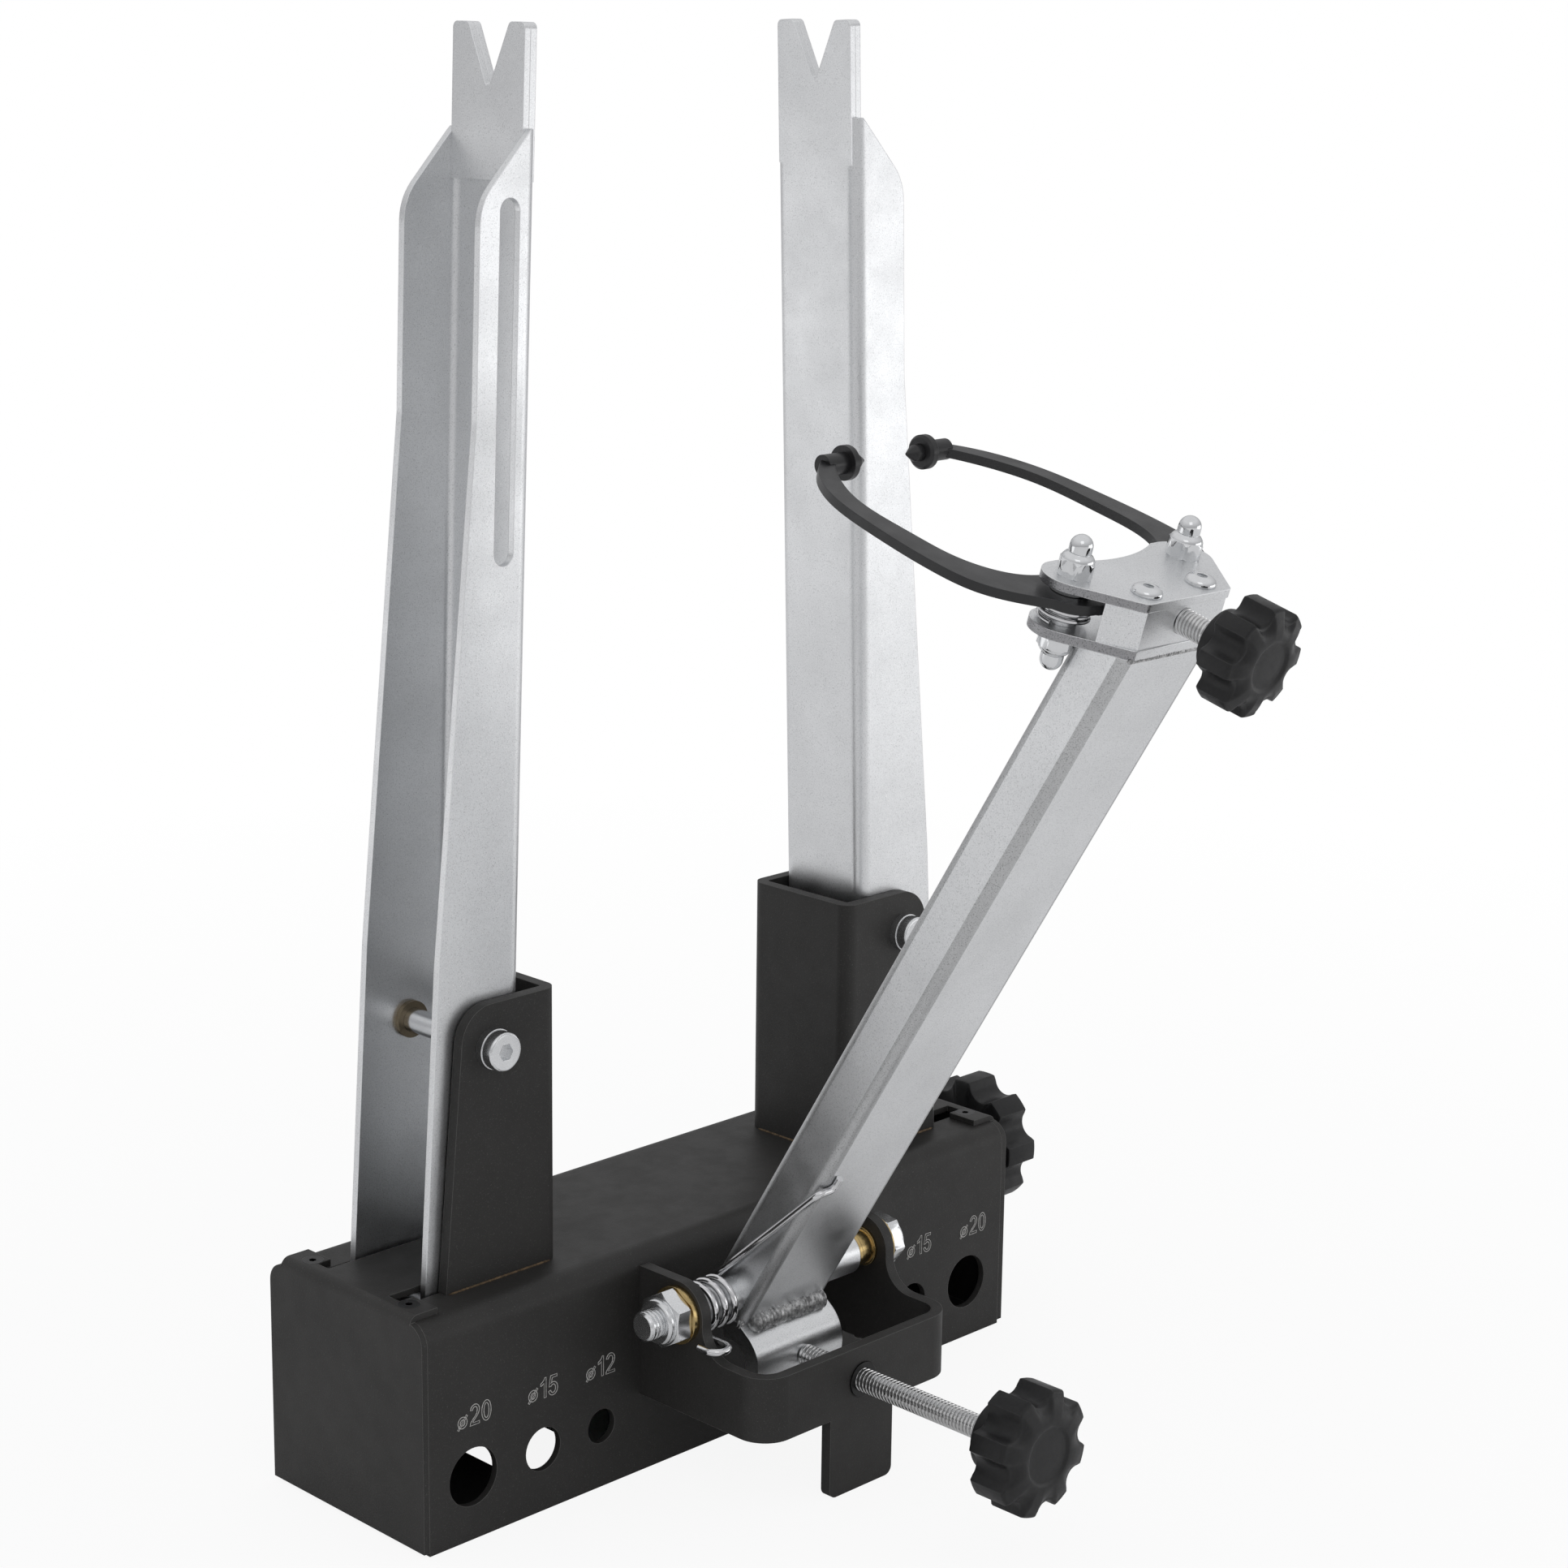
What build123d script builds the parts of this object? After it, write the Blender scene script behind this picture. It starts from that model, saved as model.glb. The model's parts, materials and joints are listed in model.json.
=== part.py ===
"""Bicycle wheel truing stand, in millimetres.

A folded steel base carries two leaning uprights with V dropouts. A screw with a left-hand
and a right-hand thread runs through the base and swings both uprights together, so the
wheel stays centred. A sprung gauge arm on the front carries a calliper head, whose two
arms close on the rim.

Frame: +X along the base, -Y the front face with the gauge arm, +Z up. The origin is the
middle of the base, on the plane it stands on. Right-hand pieces are modelled first and
mirrored to the left.
"""

from build123d import *
import os
from math import atan2, cos, degrees, hypot, radians, sin, sqrt, tan

# ---------------------------------------------------------------- fits and clearances
RUNNING = 0.05          # radial, a shaft turning or sliding in its bore
LOOSE = 0.2             # radial, a fastener in its clearance hole
SEAT = 0.3              # axial, between faces that move past each other
THIN_GAP = 0.1          # axial, between a turning face and its washer

# ---------------------------------------------------------------- base
BASE_LENGTH = 280.0
BASE_WIDTH = 79.0
BASE_HEIGHT = 78.5
BASE_SHEET = 2.5
BASE_EDGE_RADIUS = 7.0
TOP_OPENING_WIDTH = 41.0
GAUGE_HOLES = ((119.3, 20.0), (89.4, 15.0), (63.6, 12.0))   # distance from the middle, bore
GAUGE_HOLE_HEIGHT = 21.8

CAP_SHEET = 2.3
CAP_FOLD_RADIUS = 3.5
CAP_FLOOR_GAP = 1.3
CAP_RETURN = 55.0
CAP_EAR_REACH = 11.5
CAP_EAR_HALF_WIDTH = 33.5
CAP_FLAP_WIDTH = 31.0
CAP_NOTCH_WIDTH = 6.0
CAP_NOTCH_INSET = 6.0
CAP_SIDE_TAB = (13.0, 13.0)         # reach from the end plate, height
CAP_SCREW_INSET = 6.8
CAP_SCREW_SPACING = 50.0
CAP_SCREW_DIAMETER = 4.0
CAP_SCREW_HEAD = 7.4
CAP_SCREW_LENGTH = 9.0
SIDE_SCREW_INSET = 4.7
SIDE_SCREW_HEIGHT = 35.5
SIDE_SCREW_DIAMETER = 3.5
SIDE_SCREW_HEAD = (7.0, 2.2)

# ---------------------------------------------------------------- uprights and their brackets
PIVOT_HALF_SPAN = 97.2
PIVOT_HEIGHT = 158.0
LEAN = 2.0                          # degrees towards the middle at rest
LEAN_IN = 4.0                       # further swing towards the middle
UPRIGHT_SHEET = 2.5
UPRIGHT_WIDTH = 39.0
UPRIGHT_BEND_RADIUS = 5.0
UPRIGHT_WEB = 16.5                  # pivot to the web's face that looks to the middle
UPRIGHT_TOP = 321.2                 # pivot to the tip of the dropout
UPRIGHT_FOOT = 123.0                # pivot to the lower end
FLANGE_TOP = 289.0
FLANGE_TIP_REACH = -12.9            # outward reach of the flange at its top
FLANGE_SHOULDER_HEIGHT = 266.6
FLANGE_SHOULDER_RADIUS = 18.0
FLANGE_NECK_REACH = 7.0
FLANGE_NECK_HEIGHT = 200.0
FLANGE_HIP_REACH = 18.5
FLANGE_HIP_HEIGHT = 28.0
FLANGE_FOOT_REACH = 22.0
FLANGE_FOOT_HEIGHT = -80.0
FOOT_CORNER_RADIUS = 10.0
SLOT_WIDTH = 8.0
SLOT_SPAN = (154.5, 268.4)
SLOT_OFFSET = -5.0
DROPOUT_WIDTH = 34.0
DROPOUT_SHEET = 2.4
DROPOUT_BOTTOM = 273.0
DROPOUT_MOUTH = 19.6
DROPOUT_DEPTH = 21.5
PRONG_RADIUS = 2.0
MOUTH_ROOT_RADIUS = 1.5

BRACKET_SHEET = 4.0
BRACKET_BEND_RADIUS = 5.0
BRACKET_SIDE_GAP = 0.5              # between the upright and the bracket's walls
BRACKET_WEB = 68.4                  # middle of the base to the bracket's inner face
BRACKET_TOP = 172.5
BRACKET_TOP_REACH = 108.3
BRACKET_FOOT_REACH = 117.0
BRACKET_CORNER_RADIUS = 12.5

PIVOT_BOLT_DIAMETER = 8.0
PIVOT_BOLT_HEAD = (13.0, 4.5)
PIVOT_BOLT_SOCKET = 5.0
PIVOT_COLLAR = (13.5, 3.0)
PIVOT_NUT = (13.0, 8.0)
BUSH_DIAMETER = 10.0
BUSH_FLANGE = (12.4, 1.6)

# ---------------------------------------------------------------- spindle
SPINDLE_HEIGHT = 55.8
SPINDLE_DIAMETER = 10.0
SPINDLE_COLLAR = (16.0, 6.0)
BEARING_LENGTH = 8.7
BEARING_DIAMETER = 16.0
BUSHING_DIAMETER = 14.0
BUSHING_FLANGE = (20.0, 2.0)
TRUNNION_DIAMETER = 16.0
TRUNNION_PIN_DIAMETER = 10.0
FORK_SIDE_GAP = 0.15
FORK_HEADROOM = 0.25
WEB_SLOT_WIDTH = 13.0

# ---------------------------------------------------------------- gauge bracket
GAUGE_SHEET = 4.0
GAUGE_WIDTH = 92.4
GAUGE_DEPTH = 59.0
GAUGE_BEND_RADIUS = 11.0
GAUGE_BOTTOM = 28.0
GAUGE_WALL_TOP = 50.5
EAR_TOP = 74.0
EAR_REACH = 30.0
EAR_RADIUS = 11.0
EAR_HOLLOW_RADIUS = 10.5
TAB_WIDTH = 30.0
TAB_CORNER_RADIUS = 3.0

ARM_PIVOT_REACH = 19.0              # base front to the arm's pivot
ARM_PIVOT_HEIGHT = 62.7
ARM_BOLT_DIAMETER = 10.0
ARM_BOLT_HEAD = (19.5, 5.3)
ARM_BOLT_TAIL = 14.5
ARM_NUT = (17.0, 6.5, 2.5)          # across flats, hex height, collar height
ARM_WASHER = (19.6, 2.3)
ARM_BUSH_DIAMETER = 12.0

# ---------------------------------------------------------------- gauge arm
ARM_LEAN = 31.3                     # degrees from upright, at rest
ARM_WIDTH = 37.5
ARM_DEPTH = 20.0
ARM_WALL = 2.0
ARM_CORNER_RADIUS = 2.5
ARM_TAIL = 7.0
BARREL_DIAMETER = 15.0
BARREL_LEFT = 24.5
BARREL_RIGHT = 36.5
CAM_RADIUS = 13.5
CAM_THICKNESS = 6.0
CAM_DROP = 24.0
CAM_OFFSET = 0.5
CAM_ARC = (98.0, 225.0)
GUSSET_SHEET = 2.5
GUSSET_FRONT = 6.2                  # pivot plane to the gusset's front face
GUSSET_TOP = 50.0
GUSSET_REACH = 34.0
GUSSET_FOOT = 9.7

SPRING_WIRE = 2.5
SPRING_RADIUS = 7.75
SPRING_TURNS = 4
SPRING_FIRST = -40.25
SPRING_LAST = -26.25
SPRING_HOOK_HEIGHT = 55.0
SPRING_HOOK_REACH = 34.5            # base front to the start of the hook's bend
SPRING_HOOK_OUTER = -48.2
SPRING_KNEE_RADIUS = 3.0
SPRING_END = 4.0
SPRING_LEG = 16.0

# ---------------------------------------------------------------- reach screw
REACH_HEIGHT = 38.6
REACH_SCREW_DIAMETER = 8.0
REACH_INSERT = (12.0, 0.6)          # diameter, how far it stands out of the wall
REACH_NUT = (13.0, 4.0)
REACH_KNOB_BACK = 156.0

# ---------------------------------------------------------------- calliper head
HEAD_TILT = 16.0
HEAD_PLACE = (0.0, -214.1, 321.2)   # on the upper plate, between its screws
UPPER_PLATE = 2.7
BLOCK_HEIGHT = 12.0
LOWER_PLATE = 3.0
PLATE_FRONT = 6.5
PLATE_FRONT_HALF_WIDTH = 18.0
PLATE_FRONT_RADIUS = 2.0
STUD_SPACING = 50.0
STUD_SETBACK = 17.2
STUD_DIAMETER = 6.0
PLATE_EAR_RADIUS = 9.5
PLATE_WAIST = 21.8
PLATE_REAR_RADIUS = 49.1
BLOCK_REAR = 3.0
BLOCK_REAR_HALF_WIDTH = 26.3
HEAD_SCREW_SPACING = 24.8
HEAD_SCREW_DIAMETER = 5.0
HEAD_SCREW_HEAD = (9.5, 2.6)
HEAD_SCREW_SOCKET = 3.0
DOME_NUT = (10.0, 5.0, 4.6)         # across flats, hex height, dome radius
DOME_NECK = 1.6
CALLIPER_WASHER = 12.0
CALLIPER_SPACER = 9.0

CALLIPER_SHEET = 3.0
CALLIPER_TOP = -5.0
CALLIPER_HUB_RADIUS = 11.0
CALLIPER_SCREW_DIAMETER = 8.0
CALLIPER_SCREW_DROP = 7.7
CALLIPER_KNOB_BACK = 19.5
TAIL_KNUCKLE = (22.0, 11.0, 5.5)    # from the middle, setback, radius
TAIL_NOSE = (3.2, 8.0, 2.0)
CALLIPER_OUTER = ((24.0, 5.6), (38.4, 16.2), (50.0, 30.0), (52.4, 45.0),
                  (50.6, 72.0), (46.4, 93.0), (38.0, 108.2), (24.5, 119.2))
CALLIPER_INNER = ((24.5, 114.4), (34.5, 101.8), (40.4, 88.5), (42.6, 64.0),
                  (41.3, 44.0), (36.0, 34.3), (24.5, 28.4))
TIP_SETBACK = 116.3
TIP_DROP = 6.5
TIP_ROOT = 28.0
TIP_SHOULDER = 19.0
TIP_COLLAR = (11.0, 3.0)
TIP_BARREL_DIAMETER = 6.8
TIP_NOSE_DIAMETER = 5.2
TIP_NOSE = 13.2
TIP_POINT = 9.9
TIP_POINT_DIAMETER = 1.0

CALLIPER_SPRING_WIRE = 1.6
CALLIPER_SPRING_RADIUS = 7.2
CALLIPER_SPRING_PITCH = 2.1
CALLIPER_SPRING_QUARTERS = 8

# ---------------------------------------------------------------- star knobs
# diameter, rim depth, crown of the face, hub diameter, hub length, flute radius,
# flute depth, recess diameter
REACH_KNOB = (42.0, 14.0, 3.0, 24.0, 7.0, 5.0, 3.2, 19.5)
SPINDLE_KNOB = (50.0, 15.5, 3.0, 26.0, 17.2, 6.0, 3.8, 22.0)
CALLIPER_KNOB = (34.0, 11.7, 3.0, 20.0, 5.5, 4.1, 2.6, 15.5)
KNOB_FLUTES = 8
KNOB_EDGE = 1.8
KNOB_LOBE_RADIUS = 1.6
KNOB_RECESS = 0.9
KNOB_SOCKET = 12.0

# ---------------------------------------------------------------- places worked out from the sizes
HALF_LENGTH = BASE_LENGTH / 2
FRONT = -BASE_WIDTH / 2
CAP_INNER = HALF_LENGTH - CAP_SHEET
CAP_TOP = BASE_HEIGHT + CAP_SHEET
BRACKET_WIDTH = UPRIGHT_WIDTH + 2 * (BRACKET_SIDE_GAP + BRACKET_SHEET)
LEVER = PIVOT_HEIGHT - SPINDLE_HEIGHT
NUT_PLACE = PIVOT_HALF_SPAN + LEVER * tan(radians(LEAN))
GAUGE_FRONT = FRONT - GAUGE_DEPTH
GAUGE_EAR = GAUGE_WIDTH / 2
ARM_PIVOT_Y = FRONT - ARM_PIVOT_REACH
CAM_Y = ARM_PIVOT_Y + CAM_OFFSET
CAM_Z = ARM_PIVOT_HEIGHT - CAM_DROP
BLOCK_TOP = -UPPER_PLATE
BLOCK_BOTTOM = BLOCK_TOP - BLOCK_HEIGHT
HEAD_BOTTOM = BLOCK_BOTTOM - LOWER_PLATE
CALLIPER_BOTTOM = CALLIPER_TOP - CALLIPER_SHEET
FAR = 500.0                         # longer than anything that is cut

RIGHT_UPRIGHT = Pos(PIVOT_HALF_SPAN, 0, PIVOT_HEIGHT) * Rot(0, -LEAN, 0)
ARM = Pos(0, ARM_PIVOT_Y, ARM_PIVOT_HEIGHT) * Rot(ARM_LEAN, 0, 0)
HEAD = Pos(*HEAD_PLACE) * Rot(HEAD_TILT, 0, 0)


# ---------------------------------------------------------------- helpers
def block(x, y, z):
    """Box between two values on each axis."""
    size = [high - low for low, high in (x, y, z)]
    middle = [(high + low) / 2 for low, high in (x, y, z)]
    return Pos(*middle) * Box(*size)


def round_bar(axis, diameter, low, high, place=(0.0, 0.0)):
    """Cylinder along X, Y or Z from low to high; place is its centre on the other two axes."""
    turn = {"X": Rot(0, 90, 0), "Y": Rot(-90, 0, 0), "Z": Rot(0, 0, 0)}[axis]
    centre = {"X": (low, *place), "Y": (place[0], low, place[1]), "Z": (*place, low)}[axis]
    bottom = (Align.CENTER, Align.CENTER, Align.MIN)
    return Pos(*centre) * turn * Cylinder(diameter / 2, high - low, align=bottom)


def hex_bar(axis, across_flats, low, high, place=(0.0, 0.0), chamfered=True):
    """Hexagon along an axis, its corners turned down at both ends as on a nut."""
    corner = across_flats / sqrt(3)
    prism = extrude(RegularPolygon(corner, 6), high - low)
    if chamfered:
        drop = (corner - across_flats / 2) * 0.6
        turned = Polyline((0, 0), (corner - 2 * drop, 0), (corner, drop),
                          (corner, high - low - drop), (corner - 2 * drop, high - low),
                          (0, high - low), close=True)
        prism &= revolve(Plane.XZ * make_face(turned), Axis.Z)
    turn = {"X": Rot(0, 90, 0), "Y": Rot(-90, 0, 0), "Z": Rot(0, 0, 0)}[axis]
    centre = {"X": (low, *place), "Y": (place[0], low, place[1]), "Z": (*place, low)}[axis]
    return Pos(*centre) * turn * prism


def u_section(web, reach, width, sheet, bend_radius):
    """Folded channel section: web at x = web, both flanges running towards +x."""
    outer = Pos(web + reach / 2, 0) * Rectangle(reach, width)
    outer = fillet(outer.vertices().sort_by(Axis.X)[:2], bend_radius)
    inner = Pos(web + sheet + reach / 2, 0) * Rectangle(reach, width - 2 * sheet)
    inner = fillet(inner.vertices().sort_by(Axis.X)[:2], max(bend_radius - sheet, 0.5))
    return outer - inner


def outline(points, radii=()):
    """Closed polygon whose named corners are rounded: radii holds (point, radius)."""
    face = make_face(Polyline(*points, close=True))
    for point, radius in radii:
        corner = face.vertices().sort_by_distance(Vector(*point))[0]
        face = fillet(corner, radius)
    return face


def side_plate(face, width):
    """Outline in X and Z given thickness both ways along Y."""
    return extrude(Plane.XZ * face, width / 2, both=True)


def cross_plate(face, width):
    """Outline in Y and Z given thickness both ways along X."""
    return extrude(Plane.YZ * face, width / 2, both=True)


def left_of(shape):
    return mirror(shape, about=Plane.YZ)


def both_sides(shape):
    return [shape, left_of(shape)]


def group(shapes):
    return Compound(children=[solid for shape in shapes for solid in shape.solids()])


def save(name, shape):
    export_step(shape, f"parts/{name}.step")


def screw_head(diameter, height, socket, round_radius):
    """Cap screw head standing on z = 0, with its hexagon socket."""
    head = Cylinder(diameter / 2, height, align=(Align.CENTER, Align.CENTER, Align.MIN))
    head = fillet(head.edges().sort_by(Axis.Z)[-1], round_radius)
    depth = height * 0.6
    return head - Pos(0, 0, height - depth) * extrude(RegularPolygon(socket / sqrt(3), 6), depth)


# ---------------------------------------------------------------- springs
def biarc(start, start_way, end, end_way):
    """Two arcs from start to end that keep both given directions."""
    chord = end - start
    total = start_way + end_way
    spread = 2 * (1 - start_way.dot(end_way))
    along = chord.dot(total)
    reach = (sqrt(along**2 + spread * chord.dot(chord)) - along) / spread
    near = start + start_way * reach
    far = end - end_way * reach
    middle = (near + far) / 2
    way = (far - near).normalized()
    return [TangentArc(start, middle, tangent=start_way), TangentArc(middle, end, tangent=way)]


def wire_path(stations):
    """Straight runs and tangent arcs through (point, direction) stations."""
    edges = []
    for (start, start_way), (end, end_way) in zip(stations, stations[1:]):
        straight = (end - start).normalized()
        if min(straight.dot(start_way), straight.dot(end_way)) > 1 - 1e-9:
            edges.append(Line(start, end))
        else:
            edges += biarc(start, start_way, end, end_way)
    return edges


def wound_wire(name, stations, diameter):
    """One unbroken tube along the stations; prints its least gap to itself."""
    edges = wire_path(stations)
    points, run = [], 0.0
    for edge in edges:
        steps = max(int(edge.length / 0.6), 2)
        for step in range(steps):
            points.append((edge.position_at(step / steps), run + edge.length * step / steps))
        run += edge.length
    gap = min((p - q).length for i, (p, at) in enumerate(points)
              for q, along in points[i + 1:] if along - at > 4 * diameter) - diameter
    print(f"{name}: wire {diameter} mm, length {run:.1f} mm, least gap to itself {gap:.2f} mm")
    start, way = stations[0]
    return sweep(Plane(start, z_dir=way) * Circle(diameter / 2), path=Wire(edges))


def coil_station(centre, axis, across, up, radius, angle, pitch_per_degree, height):
    """Point and direction on a coil about an axis; angle in degrees from across to up."""
    out = across * cos(radians(angle)) + up * sin(radians(angle))
    way = up * cos(radians(angle)) - across * sin(radians(angle))
    rise = degrees(1) * pitch_per_degree / radius
    return centre + out * radius + axis * height, (way + axis * rise).normalized()


def torsion_spring():
    """Coil on the arm's bolt: hooked round the left ear, its leg on the gusset."""
    pivot = Vector(0, ARM_PIVOT_Y, ARM_PIVOT_HEIGHT)
    axis, forward, up = Vector(1, 0, 0), Vector(0, -1, 0), Vector(0, 0, 1)
    height = Vector(0, 0, SPRING_HOOK_HEIGHT)
    bend = FRONT - SPRING_HOOK_REACH
    knee_y = ARM_PIVOT_Y - SPRING_RADIUS - SPRING_KNEE_RADIUS
    outer = Vector(SPRING_HOOK_OUTER, 0, 0)
    inner = Vector(SPRING_FIRST, 0, 0)
    stations = [(outer + height + forward * -(bend + SPRING_END), forward),
                (outer + height + forward * -bend, forward),
                (inner + height + forward * -bend, forward * -1),
                (inner + height + forward * -knee_y, forward * -1)]
    riser = Vector(SPRING_FIRST, knee_y + SPRING_KNEE_RADIUS, 0)
    stations.append((riser + height + up * SPRING_KNEE_RADIUS, up))
    sweep_angle = 360 * SPRING_TURNS - ARM_LEAN
    rise = (SPRING_LAST - SPRING_FIRST) / sweep_angle
    quarters = 4 * SPRING_TURNS
    for quarter in range(quarters + 1):
        angle = sweep_angle * quarter / quarters
        stations.append(coil_station(pivot, axis, forward, up, SPRING_RADIUS, angle, rise,
                                     SPRING_FIRST + rise * angle))
    lean = radians(ARM_LEAN)
    along = Vector(0, -sin(lean), cos(lean))
    point = stations[-1][0]
    stations[-1] = (point, along)
    stations.append((point + along * SPRING_LEG, along))
    return wound_wire("torsion_spring", stations, SPRING_WIRE)


def calliper_spring(side):
    """Flat coil round a calliper stud, between the arm and the lower plate."""
    slack = CALLIPER_BOTTOM - BLOCK_BOTTOM
    height = CALLIPER_SPRING_PITCH * CALLIPER_SPRING_QUARTERS / 4
    base = BLOCK_BOTTOM + (slack - height) / 2
    centre = Vector(side * STUD_SPACING / 2, STUD_SETBACK, 0)
    across, up, axis = Vector(side, 0, 0), Vector(0, 1, 0), Vector(0, 0, 1)
    stations = []
    for quarter in range(CALLIPER_SPRING_QUARTERS + 1):
        stations.append(coil_station(centre, axis, across, up, CALLIPER_SPRING_RADIUS,
                                     90 * quarter, CALLIPER_SPRING_PITCH / 360,
                                     base + CALLIPER_SPRING_PITCH * quarter / 4))
    first, way = stations[0]
    last, end_way = stations[-1]
    stations.insert(0, (first - way * CALLIPER_SPRING_WIRE, way))
    stations.append((last + end_way * CALLIPER_SPRING_WIRE, end_way))
    return HEAD * wound_wire("calliper_spring", stations, CALLIPER_SPRING_WIRE)


# ---------------------------------------------------------------- knobs
def star_knob(sizes, bore):
    """Eight-lobed knob standing on its hub at z = 0, its crowned face upwards."""
    diameter, rim, crown, hub, hub_length, flute, flute_depth, recess = sizes
    radius = diameter / 2
    star = Circle(radius)
    for number in range(KNOB_FLUTES):
        cutter = Pos(radius - flute_depth + flute, 0) * Circle(flute)
        star -= Rot(0, 0, (number + 0.5) * 360 / KNOB_FLUTES) * cutter
    star = fillet(star.vertices(), KNOB_LOBE_RADIUS)
    bottom, top = hub_length, hub_length + rim
    side = Polyline((0, top + crown), (0, bottom), (radius - KNOB_EDGE / 2, bottom),
                    (radius, bottom + KNOB_EDGE / 2), (radius, top - KNOB_EDGE),
                    (radius - KNOB_EDGE, top))
    face = ThreePointArc((radius - KNOB_EDGE, top), (radius * 0.55, top + crown * 0.68),
                         (0, top + crown))
    crowned = revolve(Plane.XZ * make_face(side + face), Axis.Z)
    knob = extrude(Pos(0, 0, bottom) * star, rim + crown) & crowned
    knob += round_bar("Z", hub, 0, hub_length + 1)
    knob -= round_bar("Z", recess, top + crown - KNOB_RECESS, top + crown + 1)
    return knob - round_bar("Z", bore + 2 * RUNNING, -1, KNOB_SOCKET + 0.5)


# ---------------------------------------------------------------- base pieces
def base_channel():
    length = 2 * CAP_INNER
    section = Rot(0, 0, 90) * u_section(-BASE_HEIGHT, BASE_HEIGHT, BASE_WIDTH,
                                        BASE_SHEET, BASE_EDGE_RADIUS)
    channel = extrude(Plane.YZ * Rot(0, 0, 180) * section, length / 2, both=True)
    opening = TOP_OPENING_WIDTH / 2
    cut = block((BRACKET_WEB + BRACKET_SHEET, FAR), (-opening, opening),
                (BASE_HEIGHT - 2 * BASE_SHEET, FAR))
    screw = round_bar("Z", CAP_SCREW_DIAMETER + 2 * RUNNING, BASE_HEIGHT - 5, BASE_HEIGHT + 1,
                      (HALF_LENGTH - CAP_SCREW_INSET, CAP_SCREW_SPACING / 2))
    side = round_bar("Y", SIDE_SCREW_DIAMETER + 2 * LOOSE, 0, FAR,
                     (HALF_LENGTH - SIDE_SCREW_INSET, SIDE_SCREW_HEIGHT))
    for cutter in both_sides(cut) + both_sides(screw) + both_sides(side):
        channel -= cutter
    for cutter in both_sides(mirror(screw, about=Plane.XZ)):
        channel -= cutter
    for reach, bore in GAUGE_HOLES:
        for cutter in both_sides(round_bar("Y", bore, FRONT - 1, 0, (reach, GAUGE_HOLE_HEIGHT))):
            channel -= cutter
    return channel


def end_cap():
    """Right end cap: end plate, top fold with ears and a flap, bottom return, side tab."""
    half = BASE_WIDTH / 2
    plate = outline(((-half, CAP_FLOOR_GAP), (half, CAP_FLOOR_GAP), (half, BASE_HEIGHT),
                     (-half, BASE_HEIGHT)),
                    [((half, BASE_HEIGHT), BASE_EDGE_RADIUS),
                     ((-half, BASE_HEIGHT), BASE_EDGE_RADIUS)])
    cap = Pos(CAP_INNER, 0, 0) * extrude(Plane.YZ * plate, CAP_SHEET)
    cap -= block((0, FAR), (-CAP_EAR_HALF_WIDTH, CAP_EAR_HALF_WIDTH),
                 (CAP_TOP - 2 * CAP_FOLD_RADIUS, FAR))
    flap_end = flap_inner_end()
    fold = u_section(0, HALF_LENGTH, 2 * CAP_TOP, CAP_SHEET, CAP_FOLD_RADIUS)
    fold = side_plate(Pos(HALF_LENGTH, 0) * Rot(0, 0, 180) * fold, 2 * CAP_EAR_HALF_WIDTH)
    fold &= block((flap_end, FAR), (-FAR, FAR), (CAP_TOP - 2 * CAP_FOLD_RADIUS, FAR))
    fold -= block((0, CAP_INNER), (-FAR, FAR), (0, BASE_HEIGHT))
    flap = CAP_FLAP_WIDTH / 2
    ear_end = HALF_LENGTH - CAP_EAR_REACH
    for sign in (-1, 1):
        beside = sorted((sign * flap, sign * FAR))
        fold -= block((0, ear_end), beside, (0, FAR))
        notch = sorted((sign * flap, sign * (flap + CAP_NOTCH_WIDTH)))
        fold -= block((0, HALF_LENGTH - CAP_NOTCH_INSET), notch, (0, FAR))
    cap += fold
    inner = half - BASE_SHEET
    cap += block((HALF_LENGTH - CAP_RETURN, CAP_INNER + 1), (-inner + SEAT, inner - SEAT),
                 (CAP_FLOOR_GAP, CAP_FLOOR_GAP + CAP_SHEET))
    reach, height = CAP_SIDE_TAB
    cap += block((CAP_INNER - reach, CAP_INNER + 1), (inner - CAP_SHEET, inner),
                 (SIDE_SCREW_HEIGHT - height / 2, SIDE_SCREW_HEIGHT + height / 2))
    cap -= round_bar("Y", SIDE_SCREW_DIAMETER + 2 * RUNNING, 0, inner + 1,
                     (HALF_LENGTH - SIDE_SCREW_INSET, SIDE_SCREW_HEIGHT))
    place = HALF_LENGTH - CAP_SCREW_INSET
    for sign in (-1, 1):
        cap -= Pos(place, sign * CAP_SCREW_SPACING / 2, CAP_TOP) * countersink(RUNNING)
    return cap


def flap_inner_end():
    """The flap stops short of the upright's web at its furthest swing."""
    swing = radians(LEAN + LEAN_IN)
    web = PIVOT_HALF_SPAN - (UPRIGHT_WEB - UPRIGHT_SHEET) * cos(swing)
    return web + (PIVOT_HEIGHT - BASE_HEIGHT) * sin(swing) + 2


def countersink(clearance):
    """Countersunk screw seen as a solid, its face at z = 0 and its shank below."""
    head, shank = CAP_SCREW_HEAD / 2 + clearance, CAP_SCREW_DIAMETER / 2 + clearance
    cone = head - shank
    section = make_face(Polyline((0, 0), (head, 0), (shank, -cone), (shank, -CAP_SCREW_LENGTH),
                                 (0, -CAP_SCREW_LENGTH), close=True))
    return revolve(Plane.XZ * section, Axis.Z)


def end_cap_screws():
    place = HALF_LENGTH - CAP_SCREW_INSET
    socket = extrude(RegularPolygon(1.3, 6), -1.2)
    screws = []
    for sign in (-1, 1):
        screw = Pos(place, sign * CAP_SCREW_SPACING / 2, CAP_TOP) * (countersink(0) - socket)
        screws += both_sides(screw)
    return group(screws)


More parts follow.
